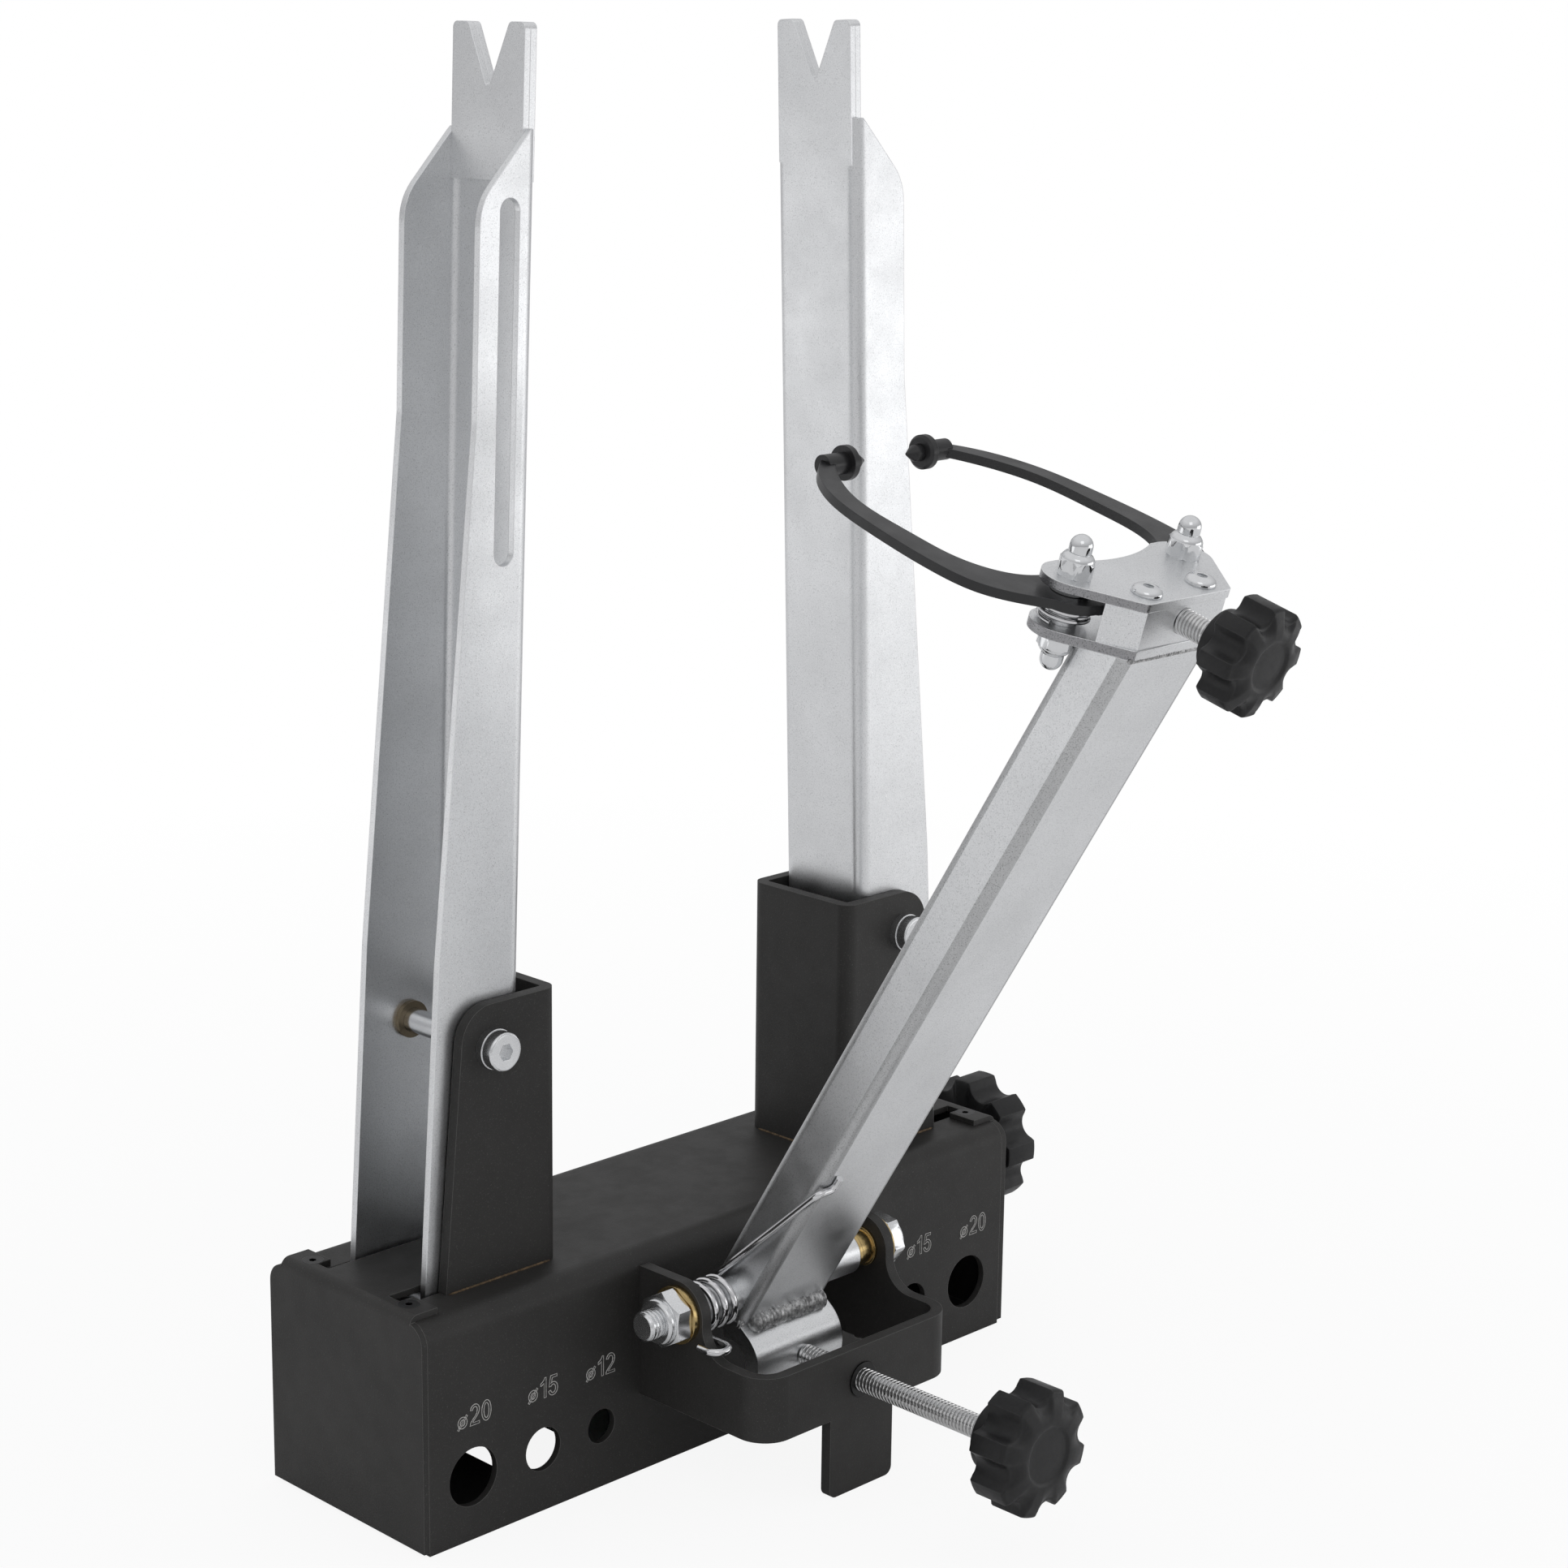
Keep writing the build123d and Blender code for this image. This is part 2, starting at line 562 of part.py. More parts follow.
def end_cap_side_screws():
    rear = BASE_WIDTH / 2
    place = (HALF_LENGTH - SIDE_SCREW_INSET, SIDE_SCREW_HEIGHT)
    head, height = SIDE_SCREW_HEAD
    screw = round_bar("Y", SIDE_SCREW_DIAMETER, rear - BASE_SHEET - CAP_SHEET, rear + 1, place)
    button = round_bar("Y", head, rear, rear + height, place)
    button = fillet(button.edges().sort_by(Axis.Y)[-1], height * 0.6)
    return group(both_sides(screw + button))


def upright_bracket():
    section = u_section(BRACKET_WEB, FAR, BRACKET_WIDTH, BRACKET_SHEET, BRACKET_BEND_RADIUS)
    bracket = extrude(Pos(0, 0, BASE_HEIGHT) * section, BRACKET_TOP - BASE_HEIGHT)
    side = outline(((0, 0), (BRACKET_FOOT_REACH, BASE_HEIGHT), (BRACKET_TOP_REACH, BRACKET_TOP),
                    (0, BRACKET_TOP)),
                   [((BRACKET_TOP_REACH, BRACKET_TOP), BRACKET_CORNER_RADIUS)])
    bracket &= side_plate(side, 2 * BRACKET_WIDTH)
    return bracket - round_bar("Y", PIVOT_BOLT_DIAMETER + 2 * LOOSE, -FAR, FAR,
                               (PIVOT_HALF_SPAN, PIVOT_HEIGHT))


def pivot_hardware():
    """Bolts, collars and nuts of the two upright pivots."""
    place = (PIVOT_HALF_SPAN, PIVOT_HEIGHT)
    wall = BRACKET_WIDTH / 2
    collar, thickness = PIVOT_COLLAR
    head, height = PIVOT_BOLT_HEAD
    across, nut_height = PIVOT_NUT
    seat = wall + thickness
    bolt = round_bar("Y", PIVOT_BOLT_DIAMETER, -seat - 1, seat + nut_height + 1.5, place)
    bolt += (Pos(place[0], -seat, place[1]) * Rot(90, 0, 0)
             * screw_head(head, height, PIVOT_BOLT_SOCKET, 0.8))
    ring = round_bar("Y", collar, wall, seat, place)
    ring -= round_bar("Y", PIVOT_BOLT_DIAMETER + 2 * LOOSE, 0, FAR, place)
    nut = hex_bar("Y", across, seat, seat + nut_height, place)
    nut -= round_bar("Y", PIVOT_BOLT_DIAMETER + 2 * RUNNING, 0, FAR, place)
    save("upright_pivot_bolts", group(both_sides(bolt)))
    save("upright_pivot_collars",
         group(both_sides(ring) + both_sides(mirror(ring, about=Plane.XZ))))
    save("upright_pivot_nuts", group(both_sides(nut)))


# ---------------------------------------------------------------- uprights
def dropout_face(bottom):
    """Dropout outline in Y and Z: straight sides, two prongs and a V mouth."""
    half, mouth = DROPOUT_WIDTH / 2, DROPOUT_MOUTH / 2
    root = UPRIGHT_TOP - DROPOUT_DEPTH
    points = ((-half, bottom), (half, bottom), (half, UPRIGHT_TOP), (mouth, UPRIGHT_TOP),
              (0, root), (-mouth, UPRIGHT_TOP), (-half, UPRIGHT_TOP))
    prongs = [(point, PRONG_RADIUS) for point in points if point[1] == UPRIGHT_TOP]
    return outline(points, prongs + [((0, root), MOUTH_ROOT_RADIUS)])


def upright(slotted):
    """Right upright about its pivot: folded channel, neck with a V, forked foot."""
    section = u_section(-UPRIGHT_WEB, FAR, UPRIGHT_WIDTH, UPRIGHT_SHEET, UPRIGHT_BEND_RADIUS)
    body = extrude(Pos(0, 0, -UPRIGHT_FOOT) * section, UPRIGHT_FOOT + FLANGE_TOP)
    side = outline(((-FAR, -UPRIGHT_FOOT), (FLANGE_FOOT_REACH, -UPRIGHT_FOOT),
                    (FLANGE_FOOT_REACH, FLANGE_FOOT_HEIGHT), (FLANGE_HIP_REACH, FLANGE_HIP_HEIGHT),
                    (FLANGE_NECK_REACH, FLANGE_NECK_HEIGHT),
                    (FLANGE_NECK_REACH, FLANGE_SHOULDER_HEIGHT), (FLANGE_TIP_REACH, FLANGE_TOP),
                    (-FAR, FLANGE_TOP)),
                   [((FLANGE_NECK_REACH, FLANGE_SHOULDER_HEIGHT), FLANGE_SHOULDER_RADIUS),
                    ((FLANGE_FOOT_REACH, -UPRIGHT_FOOT), FOOT_CORNER_RADIUS)])
    body &= side_plate(side, 2 * UPRIGHT_WIDTH)
    neck = extrude(Plane.YZ * dropout_face(DROPOUT_BOTTOM), UPRIGHT_SHEET)
    body += Pos(-UPRIGHT_WEB, 0, 0) * neck
    body -= round_bar("Y", BUSH_DIAMETER + 2 * RUNNING, -FAR, FAR)
    pin = -LEVER / cos(radians(LEAN)) + FORK_HEADROOM
    fork = TRUNNION_PIN_DIAMETER / 2 + FORK_SIDE_GAP
    body -= round_bar("Y", 2 * fork, -FAR, FAR, (0, pin))
    body -= block((-fork, fork), (-FAR, FAR), (-FAR, pin))
    web = WEB_SLOT_WIDTH / 2
    body -= round_bar("X", WEB_SLOT_WIDTH, -UPRIGHT_WEB - 1, 1 - fork, (0, pin))
    body -= block((-UPRIGHT_WEB - 1, 1 - fork), (-web, web), (-FAR, pin))
    if slotted:
        low, high = SLOT_SPAN
        slot = Pos(SLOT_OFFSET, (low + high) / 2) * Rot(0, 0, 90) * SlotOverall(high - low,
                                                                               SLOT_WIDTH)
        body -= extrude(Plane.XZ * slot, UPRIGHT_WIDTH)
    return body


def dropout_plate(body):
    """Hardened plate welded behind the neck; its lower corners follow the folded channel."""
    plate = extrude(Plane.YZ * dropout_face(DROPOUT_BOTTOM), DROPOUT_SHEET)
    return Pos(UPRIGHT_SHEET - UPRIGHT_WEB, 0, 0) * plate - body


def upright_bushes():
    wall = UPRIGHT_WIDTH / 2 - UPRIGHT_SHEET
    flange, thickness = BUSH_FLANGE
    bush = round_bar("Y", BUSH_DIAMETER, wall - 1,
                     UPRIGHT_WIDTH / 2 + BRACKET_SIDE_GAP - THIN_GAP)
    bush += round_bar("Y", flange, wall - thickness, wall)
    bush -= round_bar("Y", PIVOT_BOLT_DIAMETER + 2 * RUNNING, 0, FAR)
    return group([bush, mirror(bush, about=Plane.XZ)])


def uprights():
    for name, slotted, place in (("right", False, lambda shape: shape), ("left", True, left_of)):
        body = upright(slotted)
        save(f"upright_{name}", place(RIGHT_UPRIGHT * body))
        save(f"dropout_plate_{name}", place(RIGHT_UPRIGHT * dropout_plate(body)))
        bushes = [RIGHT_UPRIGHT * solid for solid in upright_bushes().solids()]
        save(f"upright_bushes_{name}", group([place(bush) for bush in bushes]))


# ---------------------------------------------------------------- spindle
def spindle():
    """Double-threaded spindle, its bearings, collars, knob and trunnion nuts."""
    axis = (0.0, SPINDLE_HEIGHT)
    bore = SPINDLE_DIAMETER + 2 * RUNNING
    flange, flange_thickness = BUSHING_FLANGE
    collar, collar_length = SPINDLE_COLLAR
    hub = HALF_LENGTH + flange_thickness + SEAT
    blind_end = CAP_INNER - 1.7
    save("spindle_screw", round_bar("X", SPINDLE_DIAMETER, SEAT - blind_end,
                                    hub + KNOB_SOCKET, axis))
    save("spindle_knob", Pos(hub, *axis) * Rot(0, 90, 0) * star_knob(SPINDLE_KNOB,
                                                                     SPINDLE_DIAMETER))
    right = round_bar("X", BUSHING_DIAMETER, CAP_INNER - BEARING_LENGTH + CAP_SHEET,
                      HALF_LENGTH + flange_thickness, axis)
    right += round_bar("X", flange, HALF_LENGTH, HALF_LENGTH + flange_thickness, axis)
    save("spindle_bearing_right", right - round_bar("X", bore, 0, FAR, axis))
    left = round_bar("X", BEARING_DIAMETER, -CAP_INNER, BEARING_LENGTH - CAP_INNER, axis)
    save("spindle_bearing_left", left - round_bar("X", bore, -blind_end, 0, axis))
    collars = []
    inner_right = CAP_INNER - BEARING_LENGTH + CAP_SHEET - SEAT - collar_length
    inner_left = BEARING_LENGTH - CAP_INNER + SEAT
    for start in (inner_right, inner_left):
        ring = round_bar("X", collar, start, start + collar_length, axis)
        collars.append(ring - round_bar("X", bore, -FAR, FAR, axis))
    save("spindle_collars", group(collars))
    wall = UPRIGHT_WIDTH / 2 - UPRIGHT_SHEET - SEAT
    nut = round_bar("Y", TRUNNION_DIAMETER, -wall, wall, (NUT_PLACE, SPINDLE_HEIGHT))
    nut += round_bar("Y", TRUNNION_PIN_DIAMETER, -UPRIGHT_WIDTH / 2 - 1, UPRIGHT_WIDTH / 2 + 1,
                     (NUT_PLACE, SPINDLE_HEIGHT))
    nut -= round_bar("X", bore, 0, FAR, axis)
    save("spindle_nut_right", nut)
    save("spindle_nut_left", left_of(nut))


def end_caps():
    cap = end_cap()
    passage = round_bar("X", BUSHING_DIAMETER + 2 * RUNNING, 0, FAR, (0, SPINDLE_HEIGHT))
    save("end_cap_right", cap - passage)
    save("end_cap_left", left_of(cap))


# ---------------------------------------------------------------- gauge bracket and its pivot
def gauge_bracket():
    section = Rot(0, 0, 90) * u_section(GAUGE_FRONT, GAUGE_DEPTH, GAUGE_WIDTH,
                                        GAUGE_SHEET, GAUGE_BEND_RADIUS)
    bracket = extrude(section, EAR_TOP)
    ear_front = FRONT - EAR_REACH
    side = outline(((FRONT, GAUGE_BOTTOM), (FRONT, EAR_TOP), (ear_front, EAR_TOP),
                    (ear_front, GAUGE_WALL_TOP), (GAUGE_FRONT - 1, GAUGE_WALL_TOP),
                    (GAUGE_FRONT - 1, GAUGE_BOTTOM)),
                   [((ear_front, EAR_TOP), EAR_RADIUS),
                    ((ear_front, GAUGE_WALL_TOP), EAR_HOLLOW_RADIUS)])
    bracket &= cross_plate(side, 2 * GAUGE_WIDTH)
    tab = TAB_WIDTH / 2
    foot = outline(((-tab, 0), (tab, 0), (tab, GAUGE_BOTTOM + 1), (-tab, GAUGE_BOTTOM + 1)),
                   [((-tab, 0), TAB_CORNER_RADIUS), ((tab, 0), TAB_CORNER_RADIUS)])
    bracket += Pos(0, GAUGE_FRONT + GAUGE_SHEET, 0) * extrude(Plane.XZ * foot, GAUGE_SHEET)
    bracket -= round_bar("X", ARM_BOLT_DIAMETER + 2 * LOOSE, -FAR, FAR,
                         (ARM_PIVOT_Y, ARM_PIVOT_HEIGHT))
    return bracket - round_bar("Y", REACH_INSERT[0] + 2 * RUNNING, -FAR, ARM_PIVOT_Y,
                               (0, REACH_HEIGHT))


def gauge_pivot():
    """Bolt, nut, washer and bush on which the gauge arm swings."""
    axis = (ARM_PIVOT_Y, ARM_PIVOT_HEIGHT)
    head, height = ARM_BOLT_HEAD
    washer, thickness = ARM_WASHER
    across, hex_height, collar_height = ARM_NUT
    seat = GAUGE_EAR + thickness
    bolt = round_bar("X", ARM_BOLT_DIAMETER, -seat - ARM_BOLT_TAIL, GAUGE_EAR + 1, axis)
    bolt = chamfer(bolt.edges().sort_by(Axis.X)[0], 1.0)
    round_head = round_bar("X", head, GAUGE_EAR, GAUGE_EAR + height, axis)
    bolt += fillet(round_head.edges().sort_by(Axis.X)[-1], height * 0.45)
    save("gauge_pivot_bolt", bolt)
    bore = round_bar("X", ARM_BOLT_DIAMETER + 2 * RUNNING, -FAR, FAR, axis)
    save("gauge_pivot_washer", round_bar("X", washer, -seat, -GAUGE_EAR, axis) - bore)
    nut = hex_bar("X", across, -seat - hex_height, -seat, axis)
    collar = round_bar("X", across * 0.9, -seat - hex_height - collar_height, -seat - 1, axis)
    nut += fillet(collar.edges().sort_by(Axis.X)[0], collar_height * 0.5)
    save("gauge_pivot_nut", nut - bore)
    wall = GAUGE_EAR - GAUGE_SHEET
    bush = round_bar("X", ARM_BUSH_DIAMETER, BARREL_RIGHT + SEAT / 2, wall, axis)
    save("gauge_pivot_bush", bush - bore)


# ---------------------------------------------------------------- gauge arm
def gauge_arm():
    """Arm tube, pivot barrel, gusset and cam plate, each cut to the piece it is welded to."""
    shell = RectangleRounded(ARM_WIDTH, ARM_DEPTH, ARM_CORNER_RADIUS)
    shell -= RectangleRounded(ARM_WIDTH - 2 * ARM_WALL, ARM_DEPTH - 2 * ARM_WALL,
                              ARM_CORNER_RADIUS / 4)
    tube = ARM * Pos(0, 0, -ARM_TAIL) * extrude(shell, FAR)
    tube -= HEAD * block((-FAR, FAR), (-FAR, FAR), (HEAD_BOTTOM, FAR))
    axis = (ARM_PIVOT_Y, ARM_PIVOT_HEIGHT)
    pin = round_bar("X", BARREL_DIAMETER, -BARREL_LEFT, BARREL_RIGHT, axis)
    tube -= pin
    save("gauge_arm_tube", tube)
    save("gauge_arm_barrel", pin - round_bar("X", ARM_BOLT_DIAMETER + 2 * RUNNING, -FAR, FAR,
                                             axis))
    side = ARM_WIDTH / 2
    spring_side = -BARREL_LEFT + 0.1
    gusset = make_face(Polyline((-side, GUSSET_TOP), (-side, 3), (spring_side, 3),
                                (spring_side, GUSSET_FOOT), (-GUSSET_REACH, GUSSET_FOOT),
                                (-GUSSET_REACH, GUSSET_FOOT + 2.5), (-side - 1.5, GUSSET_TOP),
                                close=True))
    gusset = ARM * Pos(0, GUSSET_SHEET - GUSSET_FRONT, 0) * extrude(Plane.XZ * gusset,
                                                                    GUSSET_SHEET)
    save("gauge_arm_gusset", gusset - pin)
    save("gauge_cam_plate", cam_plate() - pin - arm_envelope())


def arm_envelope():
    """The arm's tube taken as solid."""
    outer = RectangleRounded(ARM_WIDTH, ARM_DEPTH, ARM_CORNER_RADIUS)
    return ARM * Pos(0, 0, -ARM_TAIL) * extrude(outer, FAR / 4)


def cam_plate():
    """Thick plate rolled round the cam radius, built up to the end of the tube."""
    start, end = CAM_ARC
    middle = (start + end) / 2
    inner = CAM_RADIUS - CAM_THICKNESS
    around = [(radius * cos(radians(angle)) + CAM_Y, radius * sin(radians(angle)) + CAM_Z)
              for radius in (CAM_RADIUS, inner) for angle in (start, middle, end)]
    rim = ThreePointArc(*around[:3]) + Line(around[2], around[5])
    rim += ThreePointArc(*around[5:2:-1]) + Line(around[3], around[0])
    cam = cross_plate(make_face(rim), ARM_WIDTH)
    lean = radians(ARM_LEAN)
    corner = (ARM_PIVOT_Y + ARM_TAIL * sin(lean) - ARM_DEPTH / 2 * cos(lean),
              ARM_PIVOT_HEIGHT - ARM_TAIL * cos(lean) - ARM_DEPTH / 2 * sin(lean))
    shoulder = radians(128)
    neck = ((CAM_Y + CAM_RADIUS * cos(shoulder), CAM_Z + CAM_RADIUS * sin(shoulder)),
            (corner[0] - 0.3, corner[1] + 0.6), (corner[0] + 12, corner[1] + 8),
            (CAM_Y + 3, CAM_Z + inner), (CAM_Y - 3, CAM_Z + inner))
    return cam + cross_plate(make_face(Polyline(*neck, close=True)), ARM_WIDTH)


# ---------------------------------------------------------------- reach screw
def reach_screw():
    axis = (0.0, REACH_HEIGHT)
    diameter, proud = REACH_INSERT
    insert = round_bar("Y", diameter, GAUGE_FRONT - proud, GAUGE_FRONT + GAUGE_SHEET + proud, axis)
    bore = round_bar("Y", REACH_SCREW_DIAMETER + 2 * RUNNING, -FAR, FAR, axis)
    save("reach_screw_insert", insert - bore)
    tip = CAM_Y - CAM_RADIUS - SEAT
    screw = round_bar("Y", REACH_SCREW_DIAMETER, -REACH_KNOB_BACK - KNOB_SOCKET, tip, axis)
    save("reach_screw", chamfer(screw.edges().sort_by(Axis.Y)[-1], 0.6))
    across, thickness = REACH_NUT
    nut = hex_bar("Y", across, -REACH_KNOB_BACK, thickness - REACH_KNOB_BACK, axis)
    save("reach_lock_nut", nut - bore)
    knob = star_knob(REACH_KNOB, REACH_SCREW_DIAMETER)
    save("reach_knob", Pos(0, -REACH_KNOB_BACK, REACH_HEIGHT) * Rot(90, 0, 0) * knob)


# ---------------------------------------------------------------- calliper head
def plate_face():
    """Head plate: straight front, an ear round each stud and a hollow rear edge."""
    front = [Vector(sign * PLATE_FRONT_HALF_WIDTH, PLATE_FRONT_RADIUS - PLATE_FRONT)
             for sign in (-1, 1)]
    rounds = [Pos(place.X, place.Y) * Circle(PLATE_FRONT_RADIUS) for place in front]
    rounds += [Pos(sign * STUD_SPACING / 2, STUD_SETBACK) * Circle(PLATE_EAR_RADIUS)
               for sign in (-1, 1)]
    face = make_hull([edge for circle in rounds for edge in circle.edges()])
    face -= Pos(0, PLATE_WAIST + PLATE_REAR_RADIUS) * Circle(PLATE_REAR_RADIUS)
    for sign in (-1, 1):
        face -= Pos(sign * STUD_SPACING / 2, STUD_SETBACK) * Circle(STUD_DIAMETER / 2 + RUNNING)
        face -= Pos(sign * HEAD_SCREW_SPACING / 2, 0) * Circle(HEAD_SCREW_DIAMETER / 2 + RUNNING)
    return face


def head_frame():
    face = plate_face()
    save("head_upper_plate", HEAD * extrude(Pos(0, 0, BLOCK_TOP) * face, UPPER_PLATE))
    save("head_lower_plate", HEAD * extrude(Pos(0, 0, HEAD_BOTTOM) * face, LOWER_PLATE))
    front = 0.3 - PLATE_FRONT
    sides = ((-PLATE_FRONT_HALF_WIDTH, front), (PLATE_FRONT_HALF_WIDTH, front),
             (BLOCK_REAR_HALF_WIDTH, BLOCK_REAR), (-BLOCK_REAR_HALF_WIDTH, BLOCK_REAR))
    core = extrude(Pos(0, 0, BLOCK_BOTTOM) * make_face(Polyline(*sides, close=True)), BLOCK_HEIGHT)
    core -= round_bar("Y", CALLIPER_SCREW_DIAMETER + 2 * RUNNING, -FAR, FAR,
                      (0, -CALLIPER_SCREW_DROP))
    screws = []
    head, height = HEAD_SCREW_HEAD
    for sign in (-1, 1):
        place = (sign * HEAD_SCREW_SPACING / 2, 0.0)
        core -= round_bar("Z", HEAD_SCREW_DIAMETER + 2 * RUNNING, -FAR, FAR, place)
        screw = round_bar("Z", HEAD_SCREW_DIAMETER, HEAD_BOTTOM, 0.5, place)
        screw += Pos(*place, 0) * screw_head(head, height, HEAD_SCREW_SOCKET, height * 0.8)
        screws.append(HEAD * screw)
    save("head_block", HEAD * core)
    save("head_screws", group(screws))


def dome_nut():
    """Closed nut standing on z = 0."""
    across, hex_height, dome = DOME_NUT
    nut = hex_bar("Z", across, 0, hex_height)
    nut += round_bar("Z", 2 * dome, hex_height - 1, hex_height + DOME_NECK)
    nut += Pos(0, 0, hex_height + DOME_NECK) * Sphere(dome)
    return nut - round_bar("Z", STUD_DIAMETER + 2 * RUNNING, -FAR, hex_height + DOME_NECK)


def calliper_pivots():
    """Studs with their dome nuts, washers, spacers and return springs."""
    across, hex_height, dome = DOME_NUT
    reach = hex_height + DOME_NECK - 0.5
    studs, nuts, washers, spacers = [], [], [], []
    nut = dome_nut()
    for sign in (-1, 1):
        place = (sign * STUD_SPACING / 2, STUD_SETBACK)
        bore = round_bar("Z", STUD_DIAMETER + 2 * RUNNING, -FAR, FAR, place)
        studs.append(HEAD * round_bar("Z", STUD_DIAMETER, HEAD_BOTTOM - reach, reach, place))
        nuts.append(HEAD * Pos(*place, 0) * nut)
        nuts.append(HEAD * Pos(*place, HEAD_BOTTOM) * Rot(180, 0, 0) * nut)
        washer = round_bar("Z", CALLIPER_WASHER, CALLIPER_TOP + THIN_GAP, BLOCK_TOP, place)
        washers.append(HEAD * (washer - bore))
        spacer = round_bar("Z", CALLIPER_SPACER, BLOCK_BOTTOM, CALLIPER_BOTTOM - THIN_GAP, place)
        spacers.append(HEAD * (spacer - bore))
    save("calliper_studs", group(studs))
    save("calliper_dome_nuts", group(nuts))
    save("calliper_washers", group(washers))
    save("calliper_spacers", group(spacers))
    save("calliper_spring_left", calliper_spring(-1))
    save("calliper_spring_right", calliper_spring(1))


def calliper_arm():
    """Right calliper arm: hub on its stud, inward tail, and the bowed arm to the tip."""
    hub = (STUD_SPACING / 2, STUD_SETBACK)
    edge = Spline(*CALLIPER_OUTER) + Line(CALLIPER_OUTER[-1], CALLIPER_INNER[0])
    edge += Spline(*CALLIPER_INNER) + Line(CALLIPER_INNER[-1], CALLIPER_OUTER[0])
    face = make_face(edge) + Pos(*hub) * Circle(CALLIPER_HUB_RADIUS)
    ends = [Pos(x, y) * Circle(radius) for x, y, radius in (TAIL_KNUCKLE, TAIL_NOSE)]
    face += make_hull([edge for circle in ends for edge in circle.edges()])
    face -= Pos(*hub) * Circle(STUD_DIAMETER / 2 + RUNNING)
    return extrude(Pos(0, 0, CALLIPER_BOTTOM) * face, CALLIPER_SHEET)


def calliper_tip():
    """Turned tip: slotted barrel, pin for the collar and a cone towards the rim."""
    axis = (TIP_SETBACK, -TIP_DROP)
    tip = round_bar("X", TIP_BARREL_DIAMETER, TIP_SHOULDER, TIP_ROOT, axis)
    tip += round_bar("X", TIP_NOSE_DIAMETER, TIP_NOSE, TIP_SHOULDER + 1, axis)
    cone = Cone(TIP_NOSE_DIAMETER / 2, TIP_POINT_DIAMETER / 2, TIP_NOSE - TIP_POINT,
                align=(Align.CENTER, Align.CENTER, Align.MIN))
    return tip + Pos(TIP_NOSE, *axis) * Rot(0, -90, 0) * cone


def callipers():
    axis = (TIP_SETBACK, -TIP_DROP)
    arm = calliper_arm()
    tip = calliper_tip() - arm
    diameter, width = TIP_COLLAR
    collar = round_bar("X", diameter, TIP_SHOULDER - width, TIP_SHOULDER, axis)
    collar = chamfer(collar.edges().sort_by(Axis.X)[0], 0.8)
    collar -= round_bar("X", TIP_NOSE_DIAMETER + 2 * RUNNING, 0, FAR, axis)
    for name, place in (("right", lambda shape: shape), ("left", left_of)):
        save(f"calliper_arm_{name}", place(HEAD * arm))
        save(f"calliper_tip_{name}", place(HEAD * tip))
        save(f"calliper_tip_collar_{name}", place(HEAD * collar))


def calliper_screw():
    axis = (0.0, -CALLIPER_SCREW_DROP)
    x, nose, radius = TAIL_NOSE
    tip = nose - radius - SEAT
    screw = round_bar("Y", CALLIPER_SCREW_DIAMETER, -CALLIPER_KNOB_BACK - KNOB_SOCKET, tip, axis)
    save("calliper_screw", HEAD * chamfer(screw.edges().sort_by(Axis.Y)[-1], 0.4))
    knob = star_knob(CALLIPER_KNOB, CALLIPER_SCREW_DIAMETER)
    knob = Pos(0, -CALLIPER_KNOB_BACK, -CALLIPER_SCREW_DROP) * Rot(90, 0, 0) * knob
    save("calliper_knob", HEAD * knob)


def main():
    os.makedirs("parts", exist_ok=True)
    save("base_channel", base_channel())
    end_caps()
    save("end_cap_screws", end_cap_screws())
    save("end_cap_side_screws", end_cap_side_screws())
    bracket = upright_bracket()
    save("upright_bracket_right", bracket)
    save("upright_bracket_left", left_of(bracket))
    pivot_hardware()
    uprights()
    spindle()
    save("gauge_bracket", gauge_bracket())
    gauge_pivot()
    save("torsion_spring", torsion_spring())
    gauge_arm()
    reach_screw()
    head_frame()
    calliper_pivots()
    callipers()
    calliper_screw()


main()
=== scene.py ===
import bpy
import json
import math
import random
from mathutils import Matrix, Vector


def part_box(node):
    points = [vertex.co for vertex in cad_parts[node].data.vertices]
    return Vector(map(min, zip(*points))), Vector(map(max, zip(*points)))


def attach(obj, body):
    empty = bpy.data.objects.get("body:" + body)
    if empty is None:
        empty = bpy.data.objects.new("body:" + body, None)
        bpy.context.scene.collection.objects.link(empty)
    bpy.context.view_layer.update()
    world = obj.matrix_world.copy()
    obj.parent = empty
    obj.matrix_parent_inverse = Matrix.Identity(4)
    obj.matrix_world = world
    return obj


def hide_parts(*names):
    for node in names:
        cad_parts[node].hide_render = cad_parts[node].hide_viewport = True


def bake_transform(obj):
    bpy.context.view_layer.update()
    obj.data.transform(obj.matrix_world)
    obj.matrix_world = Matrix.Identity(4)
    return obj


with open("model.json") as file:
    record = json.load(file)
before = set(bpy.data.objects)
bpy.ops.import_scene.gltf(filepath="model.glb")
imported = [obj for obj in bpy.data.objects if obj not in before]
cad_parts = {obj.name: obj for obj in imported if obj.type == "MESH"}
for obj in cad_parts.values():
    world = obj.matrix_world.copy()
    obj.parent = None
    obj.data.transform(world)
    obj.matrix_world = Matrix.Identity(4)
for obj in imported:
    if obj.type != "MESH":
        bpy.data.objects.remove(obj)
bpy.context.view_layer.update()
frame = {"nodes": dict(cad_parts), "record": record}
nodes = frame["nodes"]

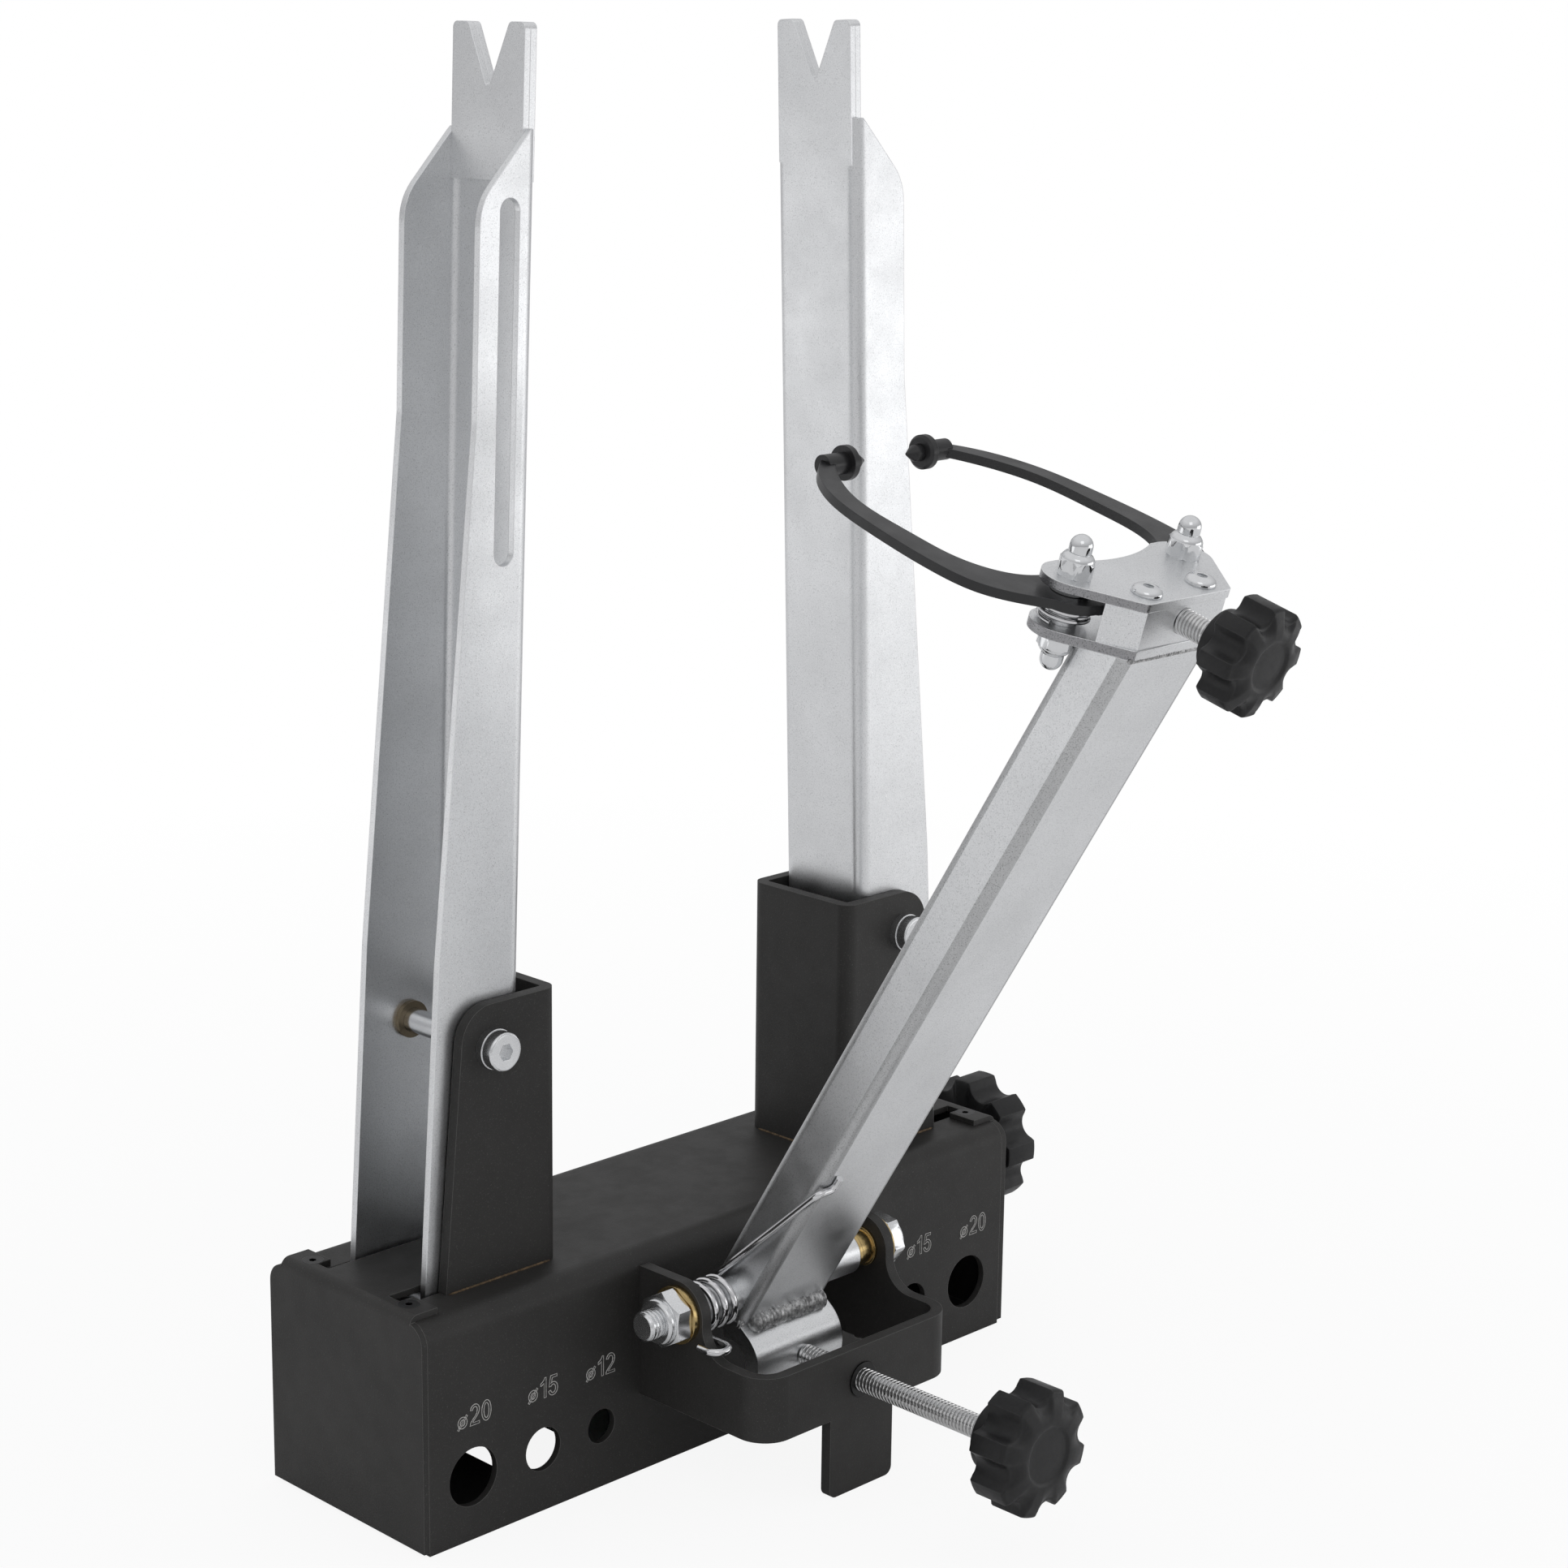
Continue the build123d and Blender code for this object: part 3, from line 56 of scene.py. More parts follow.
# ---------------------------------------------------------------- sizes, in millimetres
MM = 0.001
PIVOT = (0.0, -58.5, 62.7)          # the gauge arm's pivot axis, along X
ARM_LEAN = 31.3                     # degrees from upright, at rest
ARM_WIDTH = 40.5
ARM_DEPTH = 19.0
ARM_ASIDE = -1.5                    # middle of the tube, along X
ARM_BEHIND = 0.4                    # middle of the tube behind the pivot plane
ARM_WALL = 2.0
ARM_CORNER_RADIUS = 3.4
ARM_TAIL = 7.0                      # pivot to the tube's lower end
BARREL_DIAMETER = 15.0
BARREL_RIGHT = 33.6
SLEEVE_DIAMETER = 11.6              # the barrel's thinner end, inside the spring
SLEEVE_LEFT = -42.0
BUSH_DIAMETER = 12.0
EAR_INNER = 42.2                    # inner face of the gauge bracket's ear
CAM_CENTRE = (-58.0, 38.7)          # Y and Z
CAM_RADIUS = 13.5
CAM_THICKNESS = 6.0
CAM_END = 225.0                     # degrees, where the rolled plate ends
CAM_SHOULDER = 128.0                # degrees, where its neck leaves it
CAM_NECK_DEPTH = 13.75

HEAD_PLACE = (0.0, -214.1, 321.2)   # on the upper plate, between its screws
HEAD_TILT = 16.0
HEAD_BOTTOM = -17.7

STUD_SPACING = 50.0
STUD_SETBACK = 17.2
HEAD_SCREW_SPACING = 24.8
DOME_NUT_ACROSS = 10.0

SPRING_WIRE = 2.5
SPRING_RADIUS = 7.75
SPRING_TURNS = 3                    # whole turns, before the part turn into the leg
SPRING_FIRST = -40.25
SPRING_LAST = -25.4
SPRING_HOOK_Y = -74.0               # start of the hook's bend
SPRING_HOOK_OUTER = -48.2
SPRING_END = 4.0
SPRING_BEND = 2.6
SPRING_CATCH_HEIGHT = 61.5          # pivot to the catch, along the arm
SPRING_CATCH_WIDTH = 6.8            # how far the catch reaches across the arm's front

# diameter, rim depth, crown of the face, hub diameter, hub length, flute radius,
# flute depth, recess diameter
REACH_KNOB = (42.0, 14.0, 3.0, 24.0, 7.0, 5.0, 3.8, 19.5)
SPINDLE_KNOB = (50.0, 15.5, 3.0, 26.0, 17.2, 6.0, 4.5, 22.0)
CALLIPER_KNOB = (34.0, 11.7, 3.0, 20.0, 5.5, 4.1, 3.1, 15.5)
KNOB_FLUTES = 8
REACH_KNOB_TURN = -17.5             # degrees
REACH_KNOB_BACK = 156.0
REACH_HEIGHT = 38.6
CALLIPER_SCREW_DROP = 7.7
CALLIPER_KNOB_BACK = 19.5

# radius, pitch, thread depth
REACH_THREAD = (4.0, 1.5, 0.80)
SPINDLE_THREAD = (5.0, 2.0, 0.9)
CALLIPER_THREAD = (4.0, 1.25, 0.66)
BOLT_THREAD = (5.0, 1.5, 0.8)
CALLIPER_SCREW_LENGTH = 37.2
SPINDLE_THREADED = (72.0, 120.0)    # from the middle, on both sides
BOLT_SEAT = 46.2                    # outer face of the gauge bracket's ear
BOLT_WASHER = 2.1
BOLT_ACROSS = 17.0
BOLT_END = 54.3

LABEL_HEIGHT = 43.2                 # middle of the figures on the base's front
LABELS = ((-118.7, "20"), (-89.4, "15"), (-64.0, "12"), (64.0, "12"), (92.9, "15"),
          (122.4, "20"))
FIGURE_HEIGHT = 7.0
FIGURE_GAP = 0.12                   # between figures, in figure heights
FIGURE_LINE = 0.16                  # radius of a figure's outline
BASE_TOP = 78.6                     # where the brackets' welds lie


def axes_at(place, x_way, y_way):
    """Matrix of a frame at a place in millimetres, for points in metres."""
    x = Vector(x_way).normalized()
    z = x.cross(Vector(y_way)).normalized()
    matrix = Matrix((x, z.cross(x), z)).transposed().to_4x4()
    matrix.translation = Vector(place) * MM
    return matrix


def leaning(degrees_over):
    """Unit vectors along and inward of something that leans towards the front."""
    angle = math.radians(degrees_over)
    return (Vector((0, -math.sin(angle), math.cos(angle))),
            Vector((0, math.cos(angle), math.sin(angle))))


ARM_ALONG, ARM_INWARD = leaning(ARM_LEAN)
HEAD_NORMAL, HEAD_BACK = leaning(HEAD_TILT)
ARM_FRAME = axes_at(PIVOT, (1, 0, 0), ARM_INWARD)
HEAD_FRAME = axes_at(HEAD_PLACE, (1, 0, 0), HEAD_BACK)


# ---------------------------------------------------------------- camera and light
PICTURE_SIZE = 1932                 # pixels
PICTURE_CENTRE = (814.62, 910.69)   # where the camera's axis meets the picture
FOCAL_PIXELS = 4018.93
CAMERA_AIM = (0.0, 0.0, 0.24)       # metres
CAMERA_DISTANCE = 1.10812
CAMERA_ANGLES = (-43.47, 13.02, 0.23)   # azimuth, elevation and roll
SENSOR_WIDTH = 36.0


def place_camera():
    """The photograph's camera, fitted to the object's own edges."""
    azimuth, elevation, roll = (math.radians(angle) for angle in CAMERA_ANGLES)
    back = Vector((math.sin(azimuth) * math.cos(elevation),
                   -math.cos(azimuth) * math.cos(elevation), math.sin(elevation)))
    right = Vector((math.cos(azimuth), math.sin(azimuth), 0.0))
    up = back.cross(right)
    right, up = (right * math.cos(roll) + up * math.sin(roll),
                 up * math.cos(roll) - right * math.sin(roll))
    data = bpy.data.cameras.new("camera")
    camera = bpy.data.objects.new("camera", data)
    bpy.context.scene.collection.objects.link(camera)
    turn = Matrix((right, up, back)).transposed().to_4x4()
    turn.translation = Vector(CAMERA_AIM) + back * CAMERA_DISTANCE
    camera.matrix_world = turn
    data.sensor_width = SENSOR_WIDTH
    data.lens = FOCAL_PIXELS / PICTURE_SIZE * SENSOR_WIDTH
    data.shift_x = (PICTURE_SIZE / 2 - PICTURE_CENTRE[0]) / PICTURE_SIZE
    data.shift_y = (PICTURE_CENTRE[1] - PICTURE_SIZE / 2) / PICTURE_SIZE
    data.clip_start = 0.01
    bpy.context.scene.camera = camera


def area_light(name, place, target, size, power):
    data = bpy.data.lights.new(name, "AREA")
    data.shape = "RECTANGLE"
    data.size, data.size_y = size
    data.energy = power
    light = bpy.data.objects.new(name, data)
    bpy.context.scene.collection.objects.link(light)
    light.location = place
    light.rotation_euler = (Vector(target) - Vector(place)).to_track_quat("-Z", "Y").to_euler()


def white_for_camera(tree, other):
    """The other shader, but white where the camera looks straight at it.

    Returns the mix, and the node whose second input sets how much of it is white.
    """
    path = tree.nodes.new("ShaderNodeLightPath")
    part = tree.nodes.new("ShaderNodeMath")
    part.operation = "MULTIPLY"
    part.inputs[1].default_value = 1.0
    tree.links.new(path.outputs["Is Camera Ray"], part.inputs[0])
    mix = tree.nodes.new("ShaderNodeMixShader")
    kind = "ShaderNodeBackground" if other.bl_idname == "ShaderNodeBackground" \
        else "ShaderNodeEmission"
    plain = tree.nodes.new(kind)
    plain.inputs["Color"].default_value = (1, 1, 1, 1)
    plain.inputs["Strength"].default_value = 1.0
    tree.links.new(part.outputs[0], mix.inputs[0])
    tree.links.new(other.outputs[0], mix.inputs[1])
    tree.links.new(plain.outputs[0], mix.inputs[2])
    return mix, part


WORLD_STRENGTH = 0.80
LAMP_AIM = (0, 0, 0.2)
# name, place, size and power
LAMPS = (("key", (-0.9, -1.2, 1.5), (0.9, 0.9), 1.0),
         ("low_left_back", (-1.2, 1.2, 0.15), (1.4, 0.28), 0.6),
         ("low_right_front", (1.2, -1.2, 0.25), (1.6, 0.5), 2.4))


def studio():
    world = bpy.data.worlds.new("studio")
    bpy.context.scene.world = world
    world.use_nodes = True
    tree = world.node_tree
    background = tree.nodes["Background"]
    sky = tree.nodes.new("ShaderNodeTexCoord")
    split = tree.nodes.new("ShaderNodeSeparateXYZ")
    ramp = tree.nodes.new("ShaderNodeValToRGB")
    ramp.color_ramp.elements[0].position = 0.30
    ramp.color_ramp.elements[0].color = (0.30, 0.30, 0.31, 1)
    ramp.color_ramp.elements[1].position = 0.85
    ramp.color_ramp.elements[1].color = (0.95, 0.95, 0.96, 1)
    scale = tree.nodes.new("ShaderNodeMath")
    scale.operation = "MULTIPLY_ADD"
    scale.inputs[1].default_value = 0.5
    scale.inputs[2].default_value = 0.5
    tree.links.new(sky.outputs["Generated"], split.inputs[0])
    tree.links.new(split.outputs["Z"], scale.inputs[0])
    tree.links.new(scale.outputs[0], ramp.inputs[0])
    tree.links.new(ramp.outputs[0], background.inputs["Color"])
    background.inputs["Strength"].default_value = WORLD_STRENGTH
    mix, _ = white_for_camera(tree, background)
    tree.links.new(mix.outputs[0], tree.nodes["World Output"].inputs["Surface"])

    bpy.ops.mesh.primitive_plane_add(size=12.0, location=(0, 0, -0.0002))
    floor = bpy.context.object
    floor.name = "floor"
    material = bpy.data.materials.new("floor")
    material.use_nodes = True
    tree = material.node_tree
    shader = tree.nodes["Principled BSDF"]
    shader.inputs["Base Color"].default_value = (0.93, 0.93, 0.93, 1)
    shader.inputs["Roughness"].default_value = 0.9
    mix, part = white_for_camera(tree, shader)
    keep_shadow(tree, part)
    tree.links.new(mix.outputs[0], tree.nodes["Material Output"].inputs["Surface"])
    floor.data.materials.append(material)

    for name, place, size, power in LAMPS:
        area_light(name, place, LAMP_AIM, size, power)
    bpy.context.scene.view_settings.view_transform = "Standard"


def math_node(tree, operation, first, second=0.0):
    node = tree.nodes.new("ShaderNodeMath")
    node.operation = operation
    for socket, value in zip(node.inputs, (first, second)):
        if isinstance(value, (int, float)):
            socket.default_value = value
        else:
            tree.links.new(value, socket)
    return node.outputs[0]


WHITE_NEAR = (0.25, 0.90)           # distance in metres and white share
WHITE_FAR = (0.9, 1.0)
UNDER_BASE = (("X", 0.047), ("Y", 0.030))   # half sizes of the patch that stays dark


def keep_shadow(tree, part):
    """Near the object the floor keeps some of its own shade, and all of it under the base."""
    place = tree.nodes.new("ShaderNodeTexCoord")
    split = tree.nodes.new("ShaderNodeSeparateXYZ")
    tree.links.new(place.outputs["Object"], split.inputs[0])
    length = tree.nodes.new("ShaderNodeVectorMath")
    length.operation = "LENGTH"
    tree.links.new(place.outputs["Object"], length.inputs[0])
    fade = tree.nodes.new("ShaderNodeMapRange")
    for name, value in (("From Min", WHITE_NEAR[0]), ("From Max", WHITE_FAR[0]),
                        ("To Min", WHITE_NEAR[1]), ("To Max", WHITE_FAR[1])):
        fade.inputs[name].default_value = value
    tree.links.new(length.outputs["Value"], fade.inputs["Value"])
    beside = [math_node(tree, "GREATER_THAN", math_node(tree, "ABSOLUTE", split.outputs[axis]),
                        half) for axis, half in UNDER_BASE]
    outside = math_node(tree, "MAXIMUM", *beside)
    tree.links.new(math_node(tree, "MULTIPLY", fade.outputs["Result"], outside), part.inputs[1])


# ---------------------------------------------------------------- materials
class Shader:
    """A Principled material with object-space texture helpers."""

    def __init__(self, name, colour, metallic=0.0, roughness=0.5, round_edge=0.0004):
        self.material = bpy.data.materials.new(name)
        self.material.use_nodes = True
        self.tree = self.material.node_tree
        self.shader = self.tree.nodes["Principled BSDF"]
        self.shader.inputs["Base Color"].default_value = (*colour, 1)
        self.shader.inputs["Metallic"].default_value = metallic
        self.shader.inputs["Roughness"].default_value = roughness
        self.place = self.tree.nodes.new("ShaderNodeTexCoord")
        self.normal = self.bevel(round_edge)
        self.link(self.normal, self.shader.inputs["Normal"])

    def link(self, source, target):
        self.tree.links.new(source, target)

    def bevel(self, radius):
        """Normal that turns softly over the piece's edges, as a broken edge does."""
        node = self.tree.nodes.new("ShaderNodeBevel")
        node.samples = 6
        node.inputs["Radius"].default_value = radius
        return node.outputs["Normal"]

    def noise(self, scale, detail=3.0, roughness=0.55):
        texture = self.tree.nodes.new("ShaderNodeTexNoise")
        texture.inputs["Scale"].default_value = scale
        texture.inputs["Detail"].default_value = detail
        texture.inputs["Roughness"].default_value = roughness
        self.link(self.place.outputs["Object"], texture.inputs["Vector"])
        return texture.outputs["Fac"]

    def ramp(self, value, low, high, start=0.35, end=0.65):
        """A value spread from low to high; both are numbers or colours."""
        if isinstance(low, (int, float)):
            node = self.tree.nodes.new("ShaderNodeMapRange")
            node.inputs["From Min"].default_value = start
            node.inputs["From Max"].default_value = end
            node.inputs["To Min"].default_value = low
            node.inputs["To Max"].default_value = high
            self.link(value, node.inputs["Value"])
            return node.outputs["Result"]
        node = self.tree.nodes.new("ShaderNodeValToRGB")
        node.color_ramp.elements[0].position = start
        node.color_ramp.elements[0].color = (*low, 1)
        node.color_ramp.elements[1].position = end
        node.color_ramp.elements[1].color = (*high, 1)
        self.link(value, node.inputs["Fac"])
        return node.outputs["Color"]

    def mix(self, factor, first, second):
        node = self.tree.nodes.new("ShaderNodeMix")
        node.data_type = "RGBA"
        self.link(factor, node.inputs["Factor"])
        for socket, value in ((node.inputs["A"], first), (node.inputs["B"], second)):
            if isinstance(value, tuple):
                socket.default_value = (*value, 1)
            else:
                self.link(value, socket)
        return node.outputs["Result"]

    def edges(self, radius, start=0.02, end=0.25):
        """1 along the piece's sharp edges, 0 on its faces."""
        geometry = self.tree.nodes.new("ShaderNodeNewGeometry")
        dot = self.tree.nodes.new("ShaderNodeVectorMath")
        dot.operation = "DOT_PRODUCT"
        self.link(self.bevel(radius), dot.inputs[0])
        self.link(geometry.outputs["Normal"], dot.inputs[1])
        return self.ramp(dot.outputs["Value"], 1.0, 0.0, 1 - end, 1 - start)

    def bump(self, height, distance, strength=1.0):
        node = self.tree.nodes.new("ShaderNodeBump")
        node.inputs["Strength"].default_value = strength
        node.inputs["Distance"].default_value = distance
        self.link(height, node.inputs["Height"])
        self.link(self.normal, node.inputs["Normal"])
        self.normal = node.outputs["Normal"]
        self.link(self.normal, self.shader.inputs["Normal"])

    def colour(self, source):
        self.link(source, self.shader.inputs["Base Color"])

    def roughness(self, source):
        self.link(source, self.shader.inputs["Roughness"])


def times(colour, factor):
    return tuple(min(value * factor, 1.0) for value in colour)


def powder_coat():
    """Warm black powder coat: fine orange peel, lighter along the edges, partly as wear and
    partly as a painted highlight.
    """
    coat = Shader("powder_coat", (0.026, 0.025, 0.024), 0.0, 0.5, 0.0006)
    coat.shader.inputs["Specular IOR Level"].default_value = 0.30
    tone = coat.ramp(coat.noise(26.0, 4.0), (0.0262, 0.0255, 0.0244), (0.0315, 0.0305, 0.0292))
    speck = coat.ramp(coat.noise(2600.0, 2.0), 0.0, 1.0, 0.62, 0.76)
    tone = coat.mix(speck, tone, (0.085, 0.083, 0.079))
    # The edges are painted lighter: partly wear, partly a painted highlight.
    tone = coat.mix(coat.edges(0.0004), tone, (0.17, 0.168, 0.162))
    coat.colour(tone)
    coat.roughness(coat.ramp(coat.noise(120.0, 3.0), 0.47, 0.54))
    coat.bump(coat.noise(1500.0, 3.0), 0.0001, 0.45)
    return coat.material


def zinc(name, tint=(0.79, 0.80, 0.81), rough=(0.30, 0.38), grain=0.35, speckle=0.70):
    """Zinc-plated steel: crystalline sparkle, a little clouding, and rolled edges painted bright
    as a highlight.
    """
    metal = Shader(name, tint, 1.0, 0.36)
    tone = metal.ramp(metal.noise(30.0, 4.0, 0.6), times(tint, 0.95), times(tint, 1.05),
                      0.32, 0.68)
    dark = metal.ramp(metal.noise(2600.0, 2.0), 0.0, 1.0, 0.54, 0.72)
    tone = metal.mix(dark, tone, times(tint, speckle))
    light = metal.ramp(metal.noise(3100.0, 2.0), 0.0, 1.0, 0.60, 0.74)
    tone = metal.mix(light, tone, times(tint, 1.35))
    # The edges are painted near white: a painted highlight.
    tone = metal.mix(metal.edges(0.0005), tone, (0.97, 0.98, 0.99))
    metal.colour(tone)
    metal.roughness(metal.ramp(metal.noise(55.0, 4.0, 0.6), rough[0], rough[1]))
    metal.bump(metal.noise(2200.0, 3.0), 0.0001, grain)
    return metal.material


def turned(name, tint, rough, scale=900.0, grain=0.2, depth=0.82):
    """Machined or drawn metal with fine marks."""
    metal = Shader(name, tint, 1.0, rough, 0.0002)
    marks = metal.noise(scale, 3.0, 0.6)
    metal.colour(metal.ramp(marks, times(tint, depth), tint, 0.3, 0.7))
    metal.roughness(metal.ramp(marks, rough * 0.85, rough * 1.2))
    metal.bump(marks, 0.00006, grain)
    return metal.material


def black_satin():
    paint = Shader("calliper_black", (0.014, 0.014, 0.015), 0.0, 0.36)
    # The edges are painted lighter: a painted highlight.
    paint.colour(paint.mix(paint.edges(0.0004), paint.ramp(
        paint.noise(30.0, 4.0), (0.011, 0.011, 0.012), (0.017, 0.017, 0.018)),
        (0.055, 0.055, 0.058)))
    paint.roughness(paint.ramp(paint.noise(90.0, 4.0), 0.32, 0.42))
    paint.bump(paint.noise(1200.0, 3.0), 0.0001, 0.22)
    return paint.material


def knob_plastic():
    """Moulded black plastic with a fine eroded grain."""
    plastic = Shader("knob_plastic", (0.009, 0.009, 0.0095), 0.0, 0.40, 0.0004)
    plastic.shader.inputs["Specular IOR Level"].default_value = 0.36
    # The edges are painted lighter: a painted highlight on the rims and flutes.
    plastic.colour(plastic.mix(plastic.edges(0.0006), plastic.ramp(
        plastic.noise(900.0, 3.0), (0.0075, 0.0075, 0.008), (0.0110, 0.0110, 0.0115)),
        (0.060, 0.060, 0.061)))
    plastic.roughness(plastic.ramp(plastic.noise(300.0, 3.0), 0.36, 0.46))
    plastic.bump(plastic.noise(2600.0, 2.0), 0.0001, 0.32)
    return plastic.material


def weld_metal(name, tint, metallic=1.0, rough=0.42):
    metal = Shader(name, tint, metallic, rough, 0.0002)
    blotch = metal.noise(520.0, 4.0, 0.65)
    metal.colour(metal.ramp(blotch, times(tint, 0.35), tint, 0.36, 0.60))
    metal.roughness(metal.ramp(blotch, rough * 1.3, rough * 0.7))
    metal.bump(metal.noise(1300.0, 4.0, 0.7), 0.0004, 0.5)
    return metal.material


def ink():
    mark = Shader("marking", (0.36, 0.35, 0.33), 0.0, 0.6, 0.0001)
    mark.colour(mark.ramp(mark.noise(2500.0, 2.0), (0.36, 0.355, 0.345), (0.60, 0.59, 0.57)))
    return mark.material


MATERIALS = {
    "base_coat": powder_coat(),
    "zinc_steel": zinc("zinc_steel"),
    "bright_fastener": zinc("bright_fastener", (0.76, 0.77, 0.78), (0.17, 0.25), 0.05, 0.9),
    "screw_steel": turned("screw_steel", (0.70, 0.70, 0.70), 0.16, 1400.0, 0.0, 0.90),
    "spring_steel": turned("spring_steel", (0.74, 0.74, 0.75), 0.10, 500.0, 0.0, 0.94),
    "bearing_bronze": turned("bearing_bronze", (0.25, 0.205, 0.14), 0.42, 1800.0, 0.5),
    "yellow_zinc": turned("yellow_zinc", (0.62, 0.46, 0.21), 0.22, 1200.0, 0.05),
    "calliper_black": black_satin(),
    "knob_plastic": knob_plastic(),
}
BLACK_OXIDE = turned("black_oxide", (0.05, 0.05, 0.05), 0.34, 900.0, 0.1)
CHROME = turned("cap_chrome", (0.78, 0.79, 0.80), 0.09, 500.0, 0.0, 0.95)
SHEARED = zinc("sheared_edge", (0.34, 0.34, 0.35), (0.20, 0.28), 1.0, 0.30)
ROLLED = zinc("rolled_corner", (0.56, 0.565, 0.57), (0.34, 0.44), 1.0, 0.45)
WELD = weld_metal("weld_silver", (0.62, 0.62, 0.62))
WELD_BROWN = weld_metal("weld_primer", (0.14, 0.088, 0.040), 0.0, 0.6)
MARKING = ink()


def dress_nodes():
    """Every CAD node takes its slot's material and keeps the CAD's own normals."""
    for part in frame["record"]["subparts"]:
        node = nodes[part["node"]]
        node.data.materials.clear()
        node.data.materials.append(MATERIALS[part["material_slot"]])
    for name in ("end_cap_screws", "reach_screw_insert"):
        nodes[name].data.materials[0] = BLACK_OXIDE
    for name in ("head_upper_plate", "head_lower_plate"):
        mesh = nodes[name].data
        mesh.materials.append(SHEARED)
        for polygon in mesh.polygons:
            if abs(polygon.normal.dot(HEAD_NORMAL)) < 0.5 and polygon.normal.x < -0.2:
                polygon.material_index = 1


# ---------------------------------------------------------------- pieces
def mesh_piece(name, verts, faces, body, material, slot, matrix=None):
    """Piece from points in millimetres in the given frame; its sharp edges stay sharp."""
    mesh = bpy.data.meshes.new(name)
    turn = matrix or Matrix.Identity(4)
    mesh.from_pydata([tuple(turn @ (Vector(vert) * MM)) for vert in verts], [], faces)
    mesh.update()
    piece = bpy.data.objects.new(name, mesh)
    bpy.context.scene.collection.objects.link(piece)
    mesh.materials.append(material)
    for polygon in mesh.polygons:
        polygon.use_smooth = True
    mesh.set_sharp_from_angle(angle=math.radians(32))
    if body:
        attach(piece, body)
    return piece


def rings(loops, caps=True):
    """Faces that join equal closed loops in turn, and cap the first and the last."""
    around = len(loops[0])
    verts = [vert for loop in loops for vert in loop]
    faces = []
    for ring in range(len(loops) - 1):
        for step in range(around):
            a, b = ring * around + step, ring * around + (step + 1) % around
            faces.append((a, b, b + around, a + around))
    if caps:
        faces.append(tuple(reversed(range(around))))
        faces.append(tuple(range(len(verts) - around, len(verts))))
    return verts, faces


def circle(along, radius, around=48):
    """Loop of points about local X."""
    return [(along, radius * math.cos(2 * math.pi * step / around),
             radius * math.sin(2 * math.pi * step / around)) for step in range(around)]


def lathe(profile, around=48):
    """Closed turned form: profile is (along, radius) pairs."""
    return rings([circle(along, radius, around) for along, radius in profile])


def threaded_rod(name, thread, start, end, matrix, body, slot, threads):
    """Rod along local X whose radius follows a helical thread inside each (from, to) range."""
    radius, pitch, depth = thread
    around, steps_per_pitch, chamfer = 48, 12, 0.8
    count = max(2, int(round((end - start) / pitch * steps_per_pitch)))
    loops = []
    for station in range(count + 1):
        along = start + (end - start) * station / count
        loop = []
        for step in range(around):
            angle = 2 * math.pi * step / around
            local = radius
            for low, high in threads:
                if low <= along <= high:
                    phase = (along / pitch - step / around) % 1.0
                    ridge = max(0.0, min(1.0, 2.35 - 4.2 * abs(phase - 0.5) * 1.1))
                    fade = min(1.0, (along - low) / pitch + 0.1, (high - along) / pitch + 0.1)
                    local = radius - depth * (1 - ridge) * fade
            local -= max(0.0, chamfer - (along - start), chamfer - (end - along))
            loop.append((along, local * math.cos(angle), local * math.sin(angle)))
        loops.append(loop)
    verts, faces = rings(loops)
    return mesh_piece(name, verts, faces, body, MATERIALS[slot], slot, matrix)


def wire_mesh(name, points, diameter, slot):
    """Round wire along points in millimetres, as a mesh with rounded cut ends."""
    data = bpy.data.curves.new(name, "CURVE")
    data.dimensions = "3D"
    data.bevel_depth = diameter / 2 * MM
    data.bevel_resolution = 5
    data.use_fill_caps = True
    spline = data.splines.new("POLY")
    spline.points.add(len(points) - 1)
    for target, point in zip(spline.points, points):
        target.co = (*(Vector(point) * MM), 1)
    curve = bpy.data.objects.new(name + "_line", data)
    bpy.context.scene.collection.objects.link(curve)
    bpy.context.view_layer.update()
    mesh = bpy.data.meshes.new_from_object(
        curve.evaluated_get(bpy.context.evaluated_depsgraph_get()))
    bpy.data.objects.remove(curve)
    mesh.name = name
    piece = bpy.data.objects.new(name, mesh)
    bpy.context.scene.collection.objects.link(piece)
    mesh.materials.clear()
    mesh.materials.append(MATERIALS[slot])
    for polygon in mesh.polygons:
        polygon.use_smooth = True
    mesh.set_sharp_from_angle(angle=math.radians(50))
    return piece


def weld_bead(name, points, width, body, material, slot, ripple=1.1, seed=1, matrix=None):
    """Bead laid along points in millimetres: overlapping ripples of the run."""
    chance = random.Random(seed)
    run = [Vector(point) for point in points]
    samples = []
    for start, end in zip(run, run[1:]):
        length = (end - start).length
        steps = max(2, int(length / (ripple / 5)))
        samples += [(start.lerp(end, step / steps), (end - start).normalized())
                    for step in range(steps)]
    samples.append((run[-1], (run[-1] - run[-2]).normalized()))
    around = 14
    loops = []
    travelled, last, drift = 0.0, samples[0][0], 0.0
    for index, (point, way) in enumerate(samples):
        travelled += (point - last).length
        last = point
        drift = drift * 0.9 + chance.uniform(-1, 1) * width * 0.02
        phase = (travelled / ripple) % 1.0
        swell = 0.78 + 0.26 * math.sin(math.pi * phase) + chance.uniform(-0.03, 0.03)
        ends = min(1.0, 0.3 + min(index, len(samples) - 1 - index) / 6)
        side = way.cross(Vector((0.31, 0.62, 0.71))).normalized()
        lift = way.cross(side).normalized()
        reach = width / 2 * swell * ends
        loops.append([point + side * (reach * math.cos(2 * math.pi * step / around) + drift)
                      + lift * (reach * math.sin(2 * math.pi * step / around))
                      for step in range(around)])
    verts, faces = rings(loops)
    return mesh_piece(name, verts, faces, body, material, slot, matrix)


